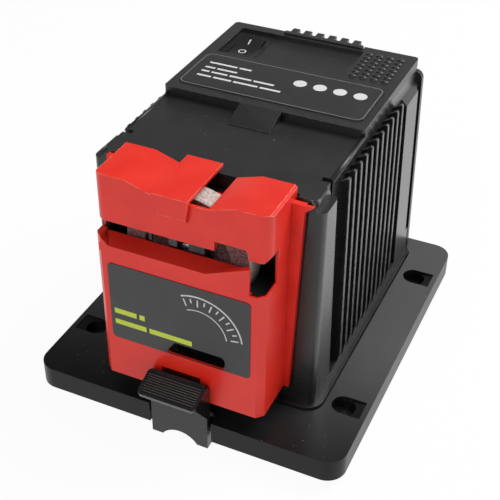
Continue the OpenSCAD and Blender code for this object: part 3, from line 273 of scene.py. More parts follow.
def moulded(name, colours, rough, grain, depth, dust=0.0, sheen=0.0, gloss=0.0, painted_light=None, painted_shade=None,
            spec=0.5, wear_and_glint_reach=1.0):
    """Moulded plastic of three colours: dark, light and an edge colour of wear and painted highlight.

    Spark-eroded grain is a bump, and wide clouds shift the colour and the roughness. Edges take the edge colour
    in patches, the more so the smaller their reach is: partly rubbed wear, partly a painted highlight. Pale specks
    of dust lie on the faces that look up. Upright faces are smoother by sheen, and faces that look sideways have
    a coat of gloss. A further colour paints the base plate's top lighter towards the back, as painted light. A
    further function gives the share of painted shade, which darkens the colour.
    """
    dark, light, edge = colours
    cloud_size, patch_size, speck_gap, drift_size = 14 * MM, 3 * MM, 3.4 * MM, 11 * MM
    cloud_share, fine_share, upright_relief = 0.10, 0.12, 0.25
    finish = Finish(name, {"Coat Roughness": 0.38, "Specular IOR Level": spec})
    cloud = finish.noise(cloud_size, 3)
    fine = finish.noise(grain, 2)
    # Edge colour on the fillets in patches: partly rubbed wear, partly a painted highlight.
    wear_and_glint = (finish.wear_and_glint() * finish.noise(patch_size, 3).step(0.3, 0.65)).step(0.0, wear_and_glint_reach)
    colour = finish.mix(cloud.step(0.3, 0.7), dark, light)
    level = finish.facing("Z").step(0.5, 0.95)
    # Painted light: the plate's top is painted lighter towards the back and darker at the front, standing in for
    # the lamp's light and the housing's shade.
    if painted_light:
        shaded_front, lit_back = -85 * MM, 10 * MM
        plate_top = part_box("base_plate")[1].z - 0.45 * MM
        top = finish.axis("Z").past(plate_top, 0.5 * MM)
        colour = finish.mix(level * top * finish.axis("Y").step(shaded_front, lit_back), colour, painted_light)
    colour = finish.mix(wear_and_glint, colour, edge)
    if dust:
        speck = 1 - finish.cells(speck_gap).step(0.03, 0.075)
        drift = level * finish.noise(drift_size, 2).step(0.42, 0.6)
        colour = finish.mix(speck * drift * dust, colour, grey(150))
    # Painted shade: the colour darkens towards grey(14) by the share that the given function paints.
    if painted_shade:
        colour = finish.mix(painted_shade(finish), colour, grey(14))
    finish.set("Base Color", colour)
    if gloss:
        finish.set("Coat Weight", finish.facing("X").size().step(0.35, 0.75) * gloss)
    smoothest = rough - sheen - (cloud_share + fine_share) / 2
    finish.set("Roughness", cloud * cloud_share + fine * fine_share + level * sheen + smoothest)
    finish.bump(fine * (level * (1 - upright_relief) + upright_relief), depth)
    return finish.material


def film(name, colour, faded, rough=0.36):
    """Printed label film: even and smooth, with a faint mottle in its gloss."""
    mottle_share = 0.12
    finish = Finish(name, {"Coat Weight": 0.1, "Coat Roughness": 0.2})
    mottle = finish.noise(5 * MM, 4)
    finish.set("Base Color", finish.mix(mottle.step(0.3, 0.8), colour, faded))
    finish.set("Roughness", mottle * mottle_share + (rough - mottle_share / 2))
    finish.bump(finish.noise(0.8 * MM, 2), 0.006 * MM)
    return finish.material


def ink(name, colour):
    """Printing ink, slightly uneven where it lies on the film."""
    finish = Finish(name)
    patch = finish.noise(1.2 * MM, 3)
    thin = tuple(0.8 * share for share in colour[:3]) + (1.0,)
    finish.set("Base Color", finish.mix(patch.step(0.35, 0.9), colour, thin))
    finish.set("Roughness", patch * 0.1 + 0.42)
    return finish.material


def metal(name, bright, dull, rough):
    """Bare or plated metal with fine scratches and wide stains."""
    scratch_share, stain_share = 0.14, 0.08
    finish = Finish(name, {"Metallic": 1.0})
    scratch = finish.noise(0.6 * MM, 3)
    stain = finish.noise(9 * MM, 3)
    finish.set("Base Color", finish.mix(stain.step(0.3, 0.75), bright, dull))
    smoothest = rough - (scratch_share + stain_share) / 2
    finish.set("Roughness", scratch * scratch_share + stain * stain_share + smoothest)
    finish.bump(scratch, 0.008 * MM)
    return finish.material


def sheet_stack():
    """Edges of stacked steel sheets along Y, with rust in patches."""
    sheet = 0.5 * MM
    finish = Finish("sheet_stack", {"Metallic": 0.9})
    wave = finish.axis("Y") * (2 * math.pi / sheet)
    ridge = wave.math("SINE", wave)
    rust = finish.noise(6 * MM, 4).step(0.55, 0.75)
    finish.set("Base Color", finish.mix(rust * 0.6, grey(118), tone(112, 84, 66)))
    finish.set("Roughness", rust * 0.3 + 0.42)
    finish.bump(ridge * 0.5 + 0.5, 0.05 * MM)
    return finish.material


def rubber_finish():
    """Matt rubber with a fine bloom."""
    finish = Finish("matt_rubber", {"Specular IOR Level": 0.35})
    bloom = finish.noise(2.5 * MM, 4)
    finish.set("Base Color", finish.mix(bloom.step(0.35, 0.75), grey(30), grey(46)))
    finish.set("Roughness", bloom * 0.15 + 0.68)
    finish.bump(finish.noise(0.3 * MM, 2), 0.02 * MM)
    return finish.material


def grit_finish():
    """Vitrified abrasive: dark and pale grains in a mauve binder, tinted redder by painted bounce light from the
    red guide, dressed pale on the wheel's rim.
    """
    finish = Finish("vitrified_grit", {"Specular IOR Level": 0.3})
    axle = JOINT["wheel_spin"]["pos_m"]
    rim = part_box("grinding_wheel")[1].x
    across = finish.axis("X")
    height = finish.axis("Z") - axle[2]
    radius = (across * across + height * height) ** 0.5
    dressed = radius.step(rim - 0.5 * MM, rim - 0.2 * MM)
    grain = finish.cells(0.5 * MM)
    pale = finish.noise(0.35 * MM, 2).step(0.53, 0.7)
    # The binder's colour is partly its own mauve, partly a painted red bounce from the guide.
    bond_and_red_bounce = finish.mix(finish.noise(0.6 * MM, 2).step(0.4, 0.6), tone(84, 40, 42), tone(126, 74, 76))
    body = finish.mix(pale, bond_and_red_bounce, tone(176, 158, 158))
    chalk = finish.noise(0.7 * MM, 3).step(0.35, 0.65)
    rim_colour = finish.mix(chalk, tone(160, 144, 136), tone(204, 195, 188))
    finish.set("Base Color", finish.mix(dressed, body, rim_colour))
    finish.set("Roughness", grain * 0.1 + 0.8)
    finish.bump(grain, 0.12 * MM)
    return finish.material


def make_materials():
    """One finish for each slot of the record, and the finishes that single pieces have of their own."""
    fine = dict(grain=0.45 * MM, depth=0.02 * MM)
    # Third colours are edge colours, partly wear and partly painted highlight; the red's pale one is mostly
    # painted highlight.
    black = dict(colours=(grey(27), grey(31), grey(104)), rough=0.38, dust=0.8, sheen=0.1, **fine)
    plate = (grey(20), grey(24), grey(100))
    switch = (grey(20), grey(25), grey(60))
    red = (tone(214, 33, 18), tone(221, 41, 24), tone(250, 140, 122))
    natural = (tone(206, 202, 190), tone(216, 212, 202), tone(228, 226, 218))
    return {
        "black_plastic": moulded("moulded_black", **black),
        "shell_plastic": moulded("shell_black", gloss=0.6, wear_and_glint_reach=0.6, **black),
        # The plate's top is painted lighter towards its back: painted light.
        "plate_plastic": moulded("plate_black", plate, 0.32, grain=0.6 * MM, depth=0.03 * MM, dust=1.0,
                                 painted_light=grey(80), spec=0.2),
        "black_switch": moulded("switch_black", switch, 0.32, **fine),
        # The guide is painted darker inside its hollow and on its lip: painted shade.
        "red_plastic": moulded("moulded_red", red, 0.36, grain=0.9 * MM, depth=0.012 * MM, painted_shade=painted_guide_shade,
                               wear_and_glint_reach=0.5),
        "rubber": rubber_finish(),
        "steel": metal("plated_steel", grey(200), grey(170), 0.3),
        "dull_steel": metal("dull_steel", grey(92), grey(76), 0.55),
        "lamination": sheet_stack(),
        "zinc": metal("cast_zinc", tone(178, 178, 182), tone(150, 150, 154), 0.42),
        "copper": metal("enamelled_copper", tone(190, 100, 58), tone(160, 78, 44), 0.34),
        "bronze": metal("sintered_bronze", tone(168, 128, 76), tone(140, 104, 60), 0.5),
        "nylon": moulded("natural_nylon", natural, 0.5, **fine),
        "label": film("front_film", tone(36, 36, 38), tone(43, 43, 45)),
        "rating_film": film("rating_film", tone(24, 22, 21), tone(29, 27, 26), 0.42),
        "pale_ink": ink("pale_ink", grey(206)),
        "line_ink": ink("line_ink", grey(120)),
        "lime_ink": ink("lime_ink", tone(196, 212, 64)),
        "abrasive": grit_finish(),
    }


def finish_of(node):
    """The material of a CAD piece: its own, or else its slot's."""
    return MATERIAL[OWN.get(node, SLOT[node])]


# Meshes

def sheet_mesh(name, points, closed_u=False, closed_v=False):
    """Mesh of a grid of points, rows by columns, wrapped round where it is closed."""
    rows, columns = points.shape[:2]
    index = np.arange(rows * columns).reshape(rows, columns)
    if closed_u:
        index = np.vstack((index, index[:1]))
    if closed_v:
        index = np.hstack((index, index[:, :1]))
    corners = (index[:-1, :-1], index[:-1, 1:], index[1:, 1:], index[1:, :-1])
    faces = np.stack(corners, -1).reshape(-1, 4)
    mesh = bpy.data.meshes.new(name)
    mesh.from_pydata(points.reshape(-1, 3), [], faces.tolist())
    return mesh


def prism(name, outline, low, high):
    """Solid of an outline of (x, z) points, carried straight from low to high along Y, with flat ends."""
    count = len(outline)
    points = np.insert(np.vstack((outline, outline)), 1, np.repeat((low, high), count), axis=1)
    near = np.arange(count)
    far = near + count
    sides = np.stack((near, np.roll(near, -1), np.roll(far, -1), far), 1)
    mesh = bpy.data.meshes.new(name)
    mesh.from_pydata(points, [], [near.tolist(), far.tolist()] + sides.tolist())
    clean(mesh)
    return mesh


def clean(mesh):
    """Merges the points that poles and seams share, and turns the faces outwards."""
    form = bmesh.new()
    form.from_mesh(mesh)
    bmesh.ops.remove_doubles(form, verts=form.verts, dist=1e-7)
    bmesh.ops.dissolve_degenerate(form, edges=form.edges, dist=1e-8)
    bmesh.ops.recalc_face_normals(form, faces=form.faces)
    form.to_mesh(mesh)
    form.free()


def joined(name, meshes):
    """One mesh of several."""
    form = bmesh.new()
    for mesh in meshes:
        form.from_mesh(mesh)
        bpy.data.meshes.remove(mesh)
    whole = bpy.data.meshes.new(name)
    form.to_mesh(whole)
    form.free()
    return whole


def add_piece(name, mesh, body, material, smooth=True):
    """A new piece of the object, riding on a body unless that is left open."""
    piece = bpy.data.objects.new(name, mesh)
    bpy.context.scene.collection.objects.link(piece)
    mesh.materials.clear()
    mesh.materials.append(material)
    mesh.polygons.foreach_set("use_smooth", np.full(len(mesh.polygons), smooth))
    if body:
        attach(piece, body)
    return piece


def mesh_values(items, name, width=1, kind=np.float64):
    """A number, or a row of numbers, from each of a mesh's items."""
    flat = np.empty(len(items) * width, kind)
    items.foreach_get(name, flat)
    return flat.reshape(-1, width) if width > 1 else flat


def shape_edges(mesh):
    """Keeps on each point of a fillet how sharply the surface turns outwards, and 0 on the faces between.

    Along an edge the normals spread by (n1 - n2) . (p1 - p2) / |p1 - p2|^2, which is the curvature. Its mean
    over a point's edges, times a sharp radius, is about 1 on a fillet of that radius and 0 on a flat or
    hollow.
    """
    sharp = 0.5 * MM
    count = len(mesh.vertices)
    points = mesh_values(mesh.vertices, "co", 3)
    normals = mesh_values(mesh.vertex_normals, "vector", 3)
    first, second = mesh_values(mesh.edges, "vertices", 2, np.int64).T
    along = points[first] - points[second]
    spread = ((normals[first] - normals[second]) * along).sum(1) / np.maximum((along ** 2).sum(1), 1e-12)
    total = np.zeros(count)
    degree = np.zeros(count)
    for end in (first, second):
        np.add.at(total, end, spread)
        np.add.at(degree, end, 1)
    turn = np.clip(total / np.maximum(degree, 1) * sharp, 0, 1)
    corners = mesh_values(mesh.loops, "vertex_index", kind=np.int64)
    sizes = mesh_values(mesh.polygons, "loop_total", kind=np.int64)
    fillet = mesh_values(mesh.polygons, "material_index", kind=np.int64)
    turn[corners[np.repeat(fillet == 0, sizes)]] = 0
    mesh.polygons.foreach_set("material_index", np.zeros(len(fillet), np.int32))
    mesh.attributes.new("edge", "FLOAT", "POINT").data.foreach_set("value", turn.astype(np.float32))


def bare_mesh(node):
    """Copy of a CAD piece's mesh without its packed normals."""
    mesh = frame["nodes"][node].data.copy()
    packed = mesh.attributes.get("custom_normal")
    if packed:
        mesh.attributes.remove(packed)
    return mesh


def rounded_form(node, width, cutter=None):
    """Copy of a rigid CAD piece: flat faces rejoined, any cutter taken out of it and its edges rounded."""
    mesh = bare_mesh(node)
    form = bmesh.new()
    form.from_mesh(mesh)
    bmesh.ops.remove_doubles(form, verts=form.verts, dist=1e-6)
    bmesh.ops.dissolve_limit(form, angle_limit=math.radians(0.5), verts=form.verts, edges=form.edges)
    form.to_mesh(mesh)
    form.free()
    piece = add_piece(node + "_form", mesh, BODY[node], finish_of(node))
    if cutter:
        cut = piece.modifiers.new("cut", "BOOLEAN")
        cut.solver = "EXACT"
        cut.object = cutter
    round_edges(piece, width)
    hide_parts(node)


def round_edges(piece, width):
    """Rounds a piece's edges, whose fillets are marked by a second material until the result is settled.

    Each point then takes the mean of its faces' normals weighted by area, so that flats stay flat and only
    the narrow fillets turn.
    """
    piece.data.materials.append(piece.data.materials[0])
    bevel = piece.modifiers.new("edges", "BEVEL")
    bevel.width = width
    bevel.segments = 3
    bevel.limit_method = "ANGLE"
    bevel.angle_limit = math.radians(32)
    bevel.miter_outer = "MITER_ARC"
    bevel.material = 1
    piece.modifiers.new("flats", "WEIGHTED_NORMAL")
    settle(piece)


def settle(piece):
    """Makes the modifiers' result the piece's own mesh, and keeps its edges on it."""
    graph = bpy.context.evaluated_depsgraph_get()
    mesh = bpy.data.meshes.new_from_object(piece.evaluated_get(graph))
    mesh.name = piece.name
    piece.modifiers.clear()
    piece.data = mesh
    shape_edges(mesh)
    mesh.materials.pop()


def rounded_corners(half_u, half_v, count):
    """Path round a rectangle: each corner's place, and (cos t, sin t) over its quarter turn outwards."""
    arc = np.radians(np.linspace(0, 90, count))
    centres, ways = [], []
    for quarter, corner in enumerate(((1, 1), (-1, 1), (-1, -1), (1, -1))):
        angle = arc + quarter * np.pi / 2
        centres.append(np.full((count, 2), corner) * (half_u, half_v))
        ways.append(np.stack((np.cos(angle), np.sin(angle)), 1))
    return np.vstack(centres), np.vstack(ways)


# Housing, panel and latch

def pillar_cutter():
    """Blocks beside the deck's front corners, which leave level ledges on the pillars' tops."""
    inner, outer = 48.3 * MM, 56 * MM
    ledge, above = DECK_TOP - 4.2 * MM, DECK_TOP + 2.2 * MM
    front, back = -53 * MM, -35.2 * MM
    outline = np.array(((inner, ledge), (outer, ledge), (outer, above), (inner, above)))
    blocks = [prism("block", outline * (side, 1), front, back) for side in LEFT_RIGHT]
    cutter = bpy.data.objects.new("cutter", joined("cutter", blocks))
    bpy.context.scene.collection.objects.link(cutter)
    return cutter


def dress_ribs():
    """Fins over the housing's cooling ribs, whose tips stand out and slope back to the wall.

    The outline leans with the wall and rounds its tip by an arc: x + r cos t, z + r sin t about (x, z).
    """
    count, first, pitch, half = 11, -22.75 * MM, 6.95 * MM, MM
    root, foot, top = 46.8 * MM, 21.3 * MM, DECK_TOP - 5.9 * MM
    toe, belly = (52.5 * MM, foot), (53.5 * MM, foot + 5.7 * MM)
    tip_x, tip_z, tip_r = 50.8 * MM, DECK_TOP - 4.2 * MM, 0.9 * MM
    turn = np.radians(np.linspace(0, 120, 7))
    tip = np.stack((tip_x + tip_r * np.cos(turn), tip_z + tip_r * np.sin(turn)), 1)
    outline = np.vstack(([(root, foot), toe, belly], tip, [(root, top)]))
    fins = []
    for side in LEFT_RIGHT:
        for middle in first + pitch * np.arange(count):
            fins.append(prism("rib", outline * (side, 1), middle - half, middle + half))
    piece = add_piece("rib_fins", joined("rib_fins", fins), "base", finish_of("housing"))
    round_edges(piece, 0.35 * MM)


def dress_deck():
    """Round side edges of the deck from its slits to the panel: x + r cos t, z + r sin t, carried along Y."""
    x, z, radius = 46.7 * MM, DECK_TOP - 1.05 * MM, 1.35 * MM
    slits, panel = -31.5 * MM, 8 * MM
    turn = np.radians(np.arange(0, 360, 10))
    outline = np.stack((x + radius * np.cos(turn), z + radius * np.sin(turn)), 1)
    rods = [prism("rod", outline * (side, 1), slits, panel) for side in LEFT_RIGHT]
    add_piece("deck_edges", joined("deck_edges", rods), "base", finish_of("housing"))


def dress_grip():
    """Low domes over the panel's grip dots: x = a cos p cos t, y = b cos p sin t, z = c sin p about each."""
    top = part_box("rating_label")[0].z
    half_x, half_y, height = 2.0 * MM, 1.55 * MM, 0.9 * MM
    columns, rows = np.linspace(25.51, 41.19, 4) * MM, np.linspace(49.25, 73.25, 7) * MM
    rise = np.radians(np.linspace(-90, 90, 11))[:, None]
    turn = np.radians(np.arange(0, 360, 20))
    girth = np.cos(rise)
    spread = (half_x * girth * np.cos(turn), half_y * girth * np.sin(turn), height * np.sin(rise))
    dome = np.stack(np.broadcast_arrays(*spread), -1)
    domes = []
    for x in columns:
        for y in rows:
            domes.append(sheet_mesh("dome", dome + (x, y, top), closed_v=True))
            clean(domes[-1])
    add_piece("grip_domes", joined("grip_domes", domes), "base",
              finish_of("control_panel"))


def dress_latch_spring():
    """Leaf spring behind the latch: its mesh is cut finer, and it stays on the plate, riding on no body."""
    mesh = bare_mesh("latch_spring")
    form = bmesh.new()
    form.from_mesh(mesh)
    bmesh.ops.subdivide_edges(form, edges=form.edges, cuts=5, use_grid_fill=True)
    form.to_mesh(mesh)
    form.free()
    piece = add_piece("latch_leaf", mesh, None, finish_of("latch_spring"), smooth=False)
    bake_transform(piece)
    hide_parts("latch_spring")


# Wheel, screws and coil

def ease(points, step):
    """Points along straight stretches of an outline, at most one step apart, with each corner kept."""
    pieces = []
    for start, end in zip(points[:-1], points[1:]):
        count = max(1, int(np.ceil(np.linalg.norm(end - start) / step)))
        pieces.append(start + (end - start) * np.arange(count)[:, None] / count)
    return np.vstack(pieces + [points[-1:]])


def dress_wheel():
    """Grinding wheel with a gritty skin: an outline of radius and depth, turned about the axle.

    x = r sin t, z = axle + r cos t. Each point is pulled inside the outline by up to one pit's depth at
    random, along the outline's normal, so that grains stand out between pits.
    """
    low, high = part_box("grinding_wheel")
    axle = JOINT["wheel_spin"]["pos_m"]
    rim = high.x
    bore, dish, sink, chamfer = 6.0 * MM, 19.5 * MM, 4.5 * MM, 0.5 * MM
    grit, pit, turns = 0.6 * MM, 0.1 * MM, 300
    outline = np.array([
        (bore, high.y), (rim - chamfer, high.y), (rim, high.y - chamfer), (rim, low.y + chamfer),
        (rim - chamfer, low.y), (dish, low.y), (dish, low.y + sink), (bore, low.y + sink), (bore, high.y)])
    profile = ease(outline, grit)[:-1]
    run = np.roll(profile, -1, 0) - np.roll(profile, 1, 0)
    inward = np.stack((run[:, 1], -run[:, 0]), 1) / np.linalg.norm(run, axis=1)[:, None]
    angle = np.arange(turns) * 2 * np.pi / turns
    pits = np.random.default_rng(7).random((len(profile), turns)) ** 2 * pit
    pits[profile[:, 0] < bore + chamfer] = 0
    radius = profile[:, :1] - inward[:, :1] * pits
    depth = profile[:, 1:] - inward[:, 1:] * pits
    points = np.stack((radius * np.sin(angle), depth, axle[2] + radius * np.cos(angle)), -1)
    mesh = sheet_mesh("wheel_grit", points, closed_u=True, closed_v=True)
    clean(mesh)
    piece = add_piece("wheel_grit", mesh, "rotor", MATERIAL["abrasive"])
    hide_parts("grinding_wheel")


def screw_points(head_r, head_h, shank_r, length):
    """Pan-head screw: (r, h) along an outline, turned about the axis h, with its head at h = 0 to head_h.

    The head is a low dome, h = top - bulge (r / head_r)^2, less a cross recess: 1 inside either of two
    crossed bars and easing to 0 at its sides. The shank's radius drops by the thread's share in a helix, one
    groove to a turn, and it tapers to a point.
    """
    turns, pitch, bulge, thread = 64, 0.9 * MM, 0.35 * head_h, 0.12
    angle = np.arange(turns) * 2 * np.pi / turns
    shank_h = np.linspace(-length, 0, 60)[:, None]
    groove = np.abs(((shank_h / pitch - angle / (2 * np.pi)) % 1) * 2 - 1)
    taper = np.clip((shank_h + length) / (2 * shank_r), 0.05, 1)
    shank = np.stack(np.broadcast_arrays(shank_r * taper * (1 - thread + thread * groove), shank_h), -1)
    side = np.array([(head_r * 0.97, 0), (head_r, 0.06 * head_h), (head_r, head_h - bulge)])
    side = np.broadcast_to(side[:, None], (3, turns, 2))
    radius = np.linspace(0.985, 0, 22)[:, None] * head_r * np.ones(turns)
    bar, reach, slope, sunk = 0.13 * head_r, 0.58 * head_r, 0.06 * head_r, 0.55 * head_h
    x, y = np.abs(radius * np.cos(angle)), np.abs(radius * np.sin(angle))
    inside = np.minimum(bar - np.minimum(x, y), reach - np.maximum(x, y))
    recess = np.clip(inside / slope + 0.5, 0, 1) * sunk
    dome = np.stack((radius, head_h - bulge * (radius / head_r) ** 2 - recess), -1)
    tip = np.broadcast_to(np.array((0, -length)), (1, turns, 2))
    outline = np.concatenate((tip, shank, side, dome))
    return outline[..., 0] * np.cos(angle), outline[..., 0] * np.sin(angle), outline[..., 1]


def dress_screws(node, head_r, head_h, shank_r, axis, places, length):
    """Screws in place of a CAD node's plain ones: each place is a head's seat, and axis points out of it."""
    out = Vector(axis)
    side = Vector((0, 0, 1)) if abs(out.z) < 0.5 else Vector((1, 0, 0))
    across = side.cross(out)
    a, b, h = screw_points(head_r, head_h, shank_r, length)
    form = a[..., None] * np.array(side) + b[..., None] * np.array(across) + h[..., None] * np.array(out)
    name = node + "_form"
    screws = []
    for place in places:
        screws.append(sheet_mesh(node, form + np.array(place), closed_v=True))
        clean(screws[-1])
    piece = add_piece(name, joined(name, screws), BODY[node], finish_of(node))
    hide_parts(node)


def inset(low, high, step):
    """The places one step inside two bounds."""
    return low + step, high - step


def dress_fasteners():
    """Screws at the corners of the rear cover and of the base, and the one that holds the wheel."""
    low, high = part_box("cover_screws")
    head_r, head_h, shank_r = 2.9 * MM, 1.8 * MM, 1.5 * MM
    seat = high.y - head_h
    places = [(x, seat, z) for x in inset(low.x, high.x, head_r) for z in inset(low.z, high.z, head_r)]
    dress_screws("cover_screws", head_r, head_h, shank_r, (0, 1, 0), places, seat - low.y)

    low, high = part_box("base_screws")
    head_r, head_h, shank_r = 3.5 * MM, 2.6 * MM, 1.75 * MM
    seat = low.z + head_h
    places = [(x, y, seat) for x in inset(low.x, high.x, head_r) for y in inset(low.y, high.y, head_r)]
    dress_screws("base_screws", head_r, head_h, shank_r, (0, 0, -1), places, high.z - seat)

    low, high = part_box("wheel_screw")
    head_r, head_h, shank_r = high.x, 2.2 * MM, 2 * MM
    seat = low.y + head_h
    places = [(0, seat, (low.z + high.z) / 2)]
    dress_screws("wheel_screw", head_r, head_h, shank_r, (0, -1, 0), places, high.y - seat)


def dress_coil():
    """Coil of wire: the turns' section carried round the limb of the stack.

    The path is a rounded rectangle in Y and Z. The section runs along X, and its outer side is scalloped,
    out = corner - wire (1 - |sin(pi n s)|), one scallop to a turn of wire.
    """
    low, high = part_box("coil_winding")
    corner, depth, turns, wire = 7 * MM, 7.4 * MM, 34, 0.28 * MM
    middle = (low + high) / 2
    half = (high - low) / 2
    centres, ways = rounded_corners(half.y - corner, half.z - corner, 7)
    share = np.linspace(0, 1, turns * 6 + 1)
    scallop = corner - wire * (1 - np.abs(np.sin(np.pi * turns * share)))
    section_x = np.concatenate((low.x + share * (high.x - low.x), [high.x, low.x]))
    section_r = np.concatenate((scallop, [corner - depth, corner - depth]))
    y = middle.y + centres[:, :1] + ways[:, :1] * section_r
    z = middle.z + centres[:, 1:] + ways[:, 1:] * section_r
    points = np.stack((np.broadcast_to(section_x, y.shape), y, z), -1)
    mesh = sheet_mesh("coil_turns", points, closed_u=True, closed_v=True)
    clean(mesh)
    piece = add_piece("coil_turns", mesh, "base", MATERIAL["copper"])
    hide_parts("coil_winding")


# Print

class Face:
    """A flat face that carries print: u and v run along it from its origin, and out points away from it."""

    def __init__(self, origin, u, v, body):
        self.origin, self.u, self.v = (np.array(value, float) for value in (origin, u, v))
        self.out = np.cross(self.u, self.v)
        self.body = body

    def band(self, line, width, closed=False):
        """Strip of ink along a line of (u, v) points: a flat section carried along it, half sunk in the face.

        At each point the section lies across the line's direction, widened by 1 / cos of half the bend there.
        """
        thick, least_cos = 0.04 * MM, 0.4
        line = np.array(line, float)
        ahead = np.roll(line, -1, 0) - line
        ahead /= np.linalg.norm(ahead, axis=1)[:, None]
        before = np.roll(ahead, 1, 0)
        if not closed:
            ahead[-1], before[0] = ahead[-2], ahead[0]
        mean = ahead + before
        mean /= np.linalg.norm(mean, axis=1)[:, None]
        spread = width / 2 / np.maximum((mean * ahead).sum(1), least_cos)
        across = np.stack((-mean[:, 1], mean[:, 0]), 1) * spread[:, None]
        flat = np.stack((line - across, line + across, line + across, line - across), 1)
        height = np.broadcast_to(np.array((-0.5, -0.5, 0.5, 0.5)) * thick, flat.shape[:2])
        section = np.concatenate((flat, height[..., None]), 2)
        if not closed:
            first, last = (np.broadcast_to(section[end].mean(0), (1, 4, 3)) for end in (0, -1))
            section = np.concatenate((first, section, last))
        points = self.origin + section @ np.stack((self.u, self.v, self.out))
        mesh = sheet_mesh("ink", points, closed_u=closed, closed_v=True)
        clean(mesh)
        return mesh

    def row(self, start, height, lengths, gap, width):
        """Blank bars one after another, lengths in millimetres."""
        bars = []
        for length in lengths:
            bars.append(self.band([(start, height), (start + length * MM, height)], width))
            start += length * MM + gap
        return bars

    def print(self, name, bands, material):
        """Makes one piece of bands of ink."""
        add_piece(name, joined(name, bands), self.body, material, smooth=False)


def loop(half_u, half_v, radius):
    """Rounded rectangle about the origin as a closed line: each corner's centre + radius (cos t, sin t)."""
    centres, ways = rounded_corners(half_u - radius, half_v - radius, 9)
    return centres + radius * ways


def ring(radius, centre=(0, 0), start=0, end=360):
    """Part or all of a circle as a line of points: centre + radius (cos t, sin t)."""
    angle = np.radians(np.linspace(start, end, 48, endpoint=end - start < 360))
    return np.stack((centre[0] + radius * np.cos(angle), centre[1] + radius * np.sin(angle)), 1)


def print_rating_label():
    """Pale outline round the panel's label, with blank bars and plain discs on it."""
    low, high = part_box("rating_label")
    middle = (low + high) / 2
    face = Face((middle.x, middle.y, high.z), (1, 0, 0), (0, 1, 0), "base")
    margin, corner, hairline = 0.8 * MM, 3.4 * MM, 0.35 * MM
    outline = loop((high.x - low.x) / 2 - margin, (high.y - low.y) / 2 - margin, corner)
    face.print("rating_outline", [face.band(outline, hairline, True)], MATERIAL["line_ink"])

    disc_r, disc_width, disc_v = 1.6 * MM, 3 * MM, 5 * MM
    marks = []
    for disc_u in (7.3, 16.9, 26.5, 36.1):
        marks.append(face.band(ring(disc_r, (disc_u * MM, disc_v)), disc_width, True))
    start, gap, bar = -39 * MM, 1.1 * MM, 1.4 * MM
    for height, lengths in ((7.2, (14, 6)), (2.3, (5, 10)), (-1.8, (4, 8, 11, 10)), (-6.3, (7, 9, 12, 10))):
        marks += face.row(start, height * MM, lengths, gap, bar)
    face.print("rating_marks", marks, MATERIAL["pale_ink"])


def print_front_label():
    """Own motif on the guide's label: an angle gauge of arcs and ticks, and two rows of blank lime bars."""
    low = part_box("guide_label")[0]
    face = Face((0, low.y, 0), (1, 0, 0), (0, 0, 1), "guide")
    centre = np.array((9 * MM, low.z + 15 * MM))
    tick_end, tick_start, short_start, tick = 18.6 * MM, 15 * MM, 16.5 * MM, 0.6 * MM
    gauge = []
    for radius, width in ((20, 0.7), (13, 0.45)):
        gauge.append(face.band(ring(radius * MM, centre, 8, 112), width * MM))
    for step, degrees in enumerate(range(10, 111, 10)):
        way = np.array((math.cos(math.radians(degrees)), math.sin(math.radians(degrees))))
        begin = short_start if step % 2 else tick_start
        gauge.append(face.band([centre + way * begin, centre + way * tick_end], tick))
    face.print("gauge_print", gauge, MATERIAL["pale_ink"])

    start, gap, bar = -30.5 * MM, 1.4 * MM, 2.6 * MM
    bars = face.row(start, low.z + 15 * MM, (10.5, 2.5), gap, bar)
    bars += face.row(start, low.z + 9.2 * MM, (15, 20), gap, bar)
    face.print("bar_print", bars, MATERIAL["lime_ink"])


def print_rocker():
    """On and off marks: a bar on the rocker's raised rear half and a ring on its pressed front half.

    The rocker's top is a V of two flats, 9 degrees each way from its seat, and it rests turned 9 degrees, so
    that the front half lies level and the rear half rises at 18 degrees.
    """
    pivot = np.array(JOINT["rocker_tilt"]["pos_m"])
    tip = math.radians(9)
    rise, centre, half = 3.3 * MM, 4.3 * MM, 1.7 * MM
    for name, side, line, width, closed in (
            ("mark_on", 1, [(0, -half), (0, half)], 0.65 * MM, False),
            ("mark_off", -1, ring(half), 0.6 * MM, True)):
        slope = tip * (1 + side)
        y, z = side * centre, rise + centre * math.tan(tip)
        origin = pivot + (0, y * math.cos(tip) - z * math.sin(tip), y * math.sin(tip) + z * math.cos(tip))
        face = Face(origin, (1, 0, 0), (0, math.cos(slope), math.sin(slope)), "rocker")
        face.print(name, [face.band(line, width, closed)], MATERIAL["pale_ink"])


# The studio

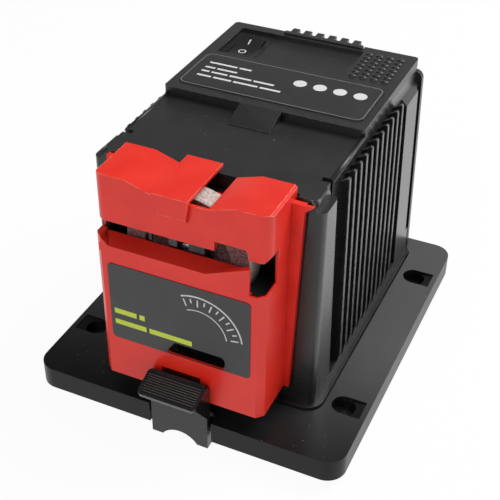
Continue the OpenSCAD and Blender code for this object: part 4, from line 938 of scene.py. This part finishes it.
def make_floor():
    """Pale floor: matt under the lamps, and mostly white to the eye, so that the shadow stays soft."""
    half, white = 4.0, 0.95
    x, y = np.meshgrid((-half, half), (-half, half))
    mesh = sheet_mesh("floor", np.stack((x, y, np.zeros_like(x)), -1))
    floor = bpy.data.objects.new("floor", mesh)
    bpy.context.scene.collection.objects.link(floor)
    finish = Finish("pale_floor", {"Roughness": 0.9, "Specular IOR Level": 0.0, "Base Color": grey(228)})
    glow = finish.add("ShaderNodeEmission", {}, {"Strength": 1.0})
    both = finish.add("ShaderNodeMixShader", {}, {0: eye_rays(finish) * white, 2: glow})
    finish.tree.links.new(finish.shader.outputs[0], both.socket.node.inputs[1])
    finish.tree.links.new(both.socket, finish.tree.nodes["Material Output"].inputs["Surface"])
    mesh.materials.append(finish.material)


def eye_rays(finish):
    """1 for what the camera sees, by itself, in gloss or through glass, and 0 for light on the object."""
    names = ("Is Camera Ray", "Is Glossy Ray", "Is Transmission Ray")
    camera, gloss, through = (finish.add("ShaderNodeLightPath", output=name) for name in names)
    return camera + gloss + through


def light_studio():
    """Pale walls under a dim ceiling, a soft box at the right and behind, and a fill from the front."""
    walls, ceiling = 0.95, 0.15
    world = bpy.data.worlds.new("studio")
    bpy.context.scene.world = world
    world.use_nodes = True
    tree = world.node_tree
    way = add_node(tree, "ShaderNodeTexCoord", output="Generated")
    up = add_node(tree, "ShaderNodeSeparateXYZ", {}, {"Vector": way}, "Z")
    sky = tree.nodes["Background"]
    sky.inputs["Color"].default_value = (1, 1, 1, 1)
    plug(tree, sky.inputs["Strength"], walls - (walls - ceiling) * up.step(0.05, 0.5))
    area_light("key", place=(0.45, 0.4, 0.95), target=(0, 0, 0.06), size=0.8, power=13.5)
    area_light("fill", place=(-0.15, -0.85, 0.7), target=(0, 0, 0.05), size=0.5, power=3.4)


aim_camera()
light_studio()
make_floor()
MATERIAL = make_materials()
for node, thing in frame["nodes"].items():
    thing.data.materials.clear()
    thing.data.materials.append(finish_of(node))

cutter = pillar_cutter()
for node, width in ROUNDING.items():
    rounded_form(node, width * MM, cutter if node == "housing" else None)
bpy.data.objects.remove(cutter)

dress_wheel()
dress_coil()
dress_latch_spring()
dress_grip()
dress_ribs()
dress_deck()
dress_fasteners()
print_rating_label()
print_front_label()
print_rocker()

bpy.context.scene.view_settings.view_transform = "Standard"
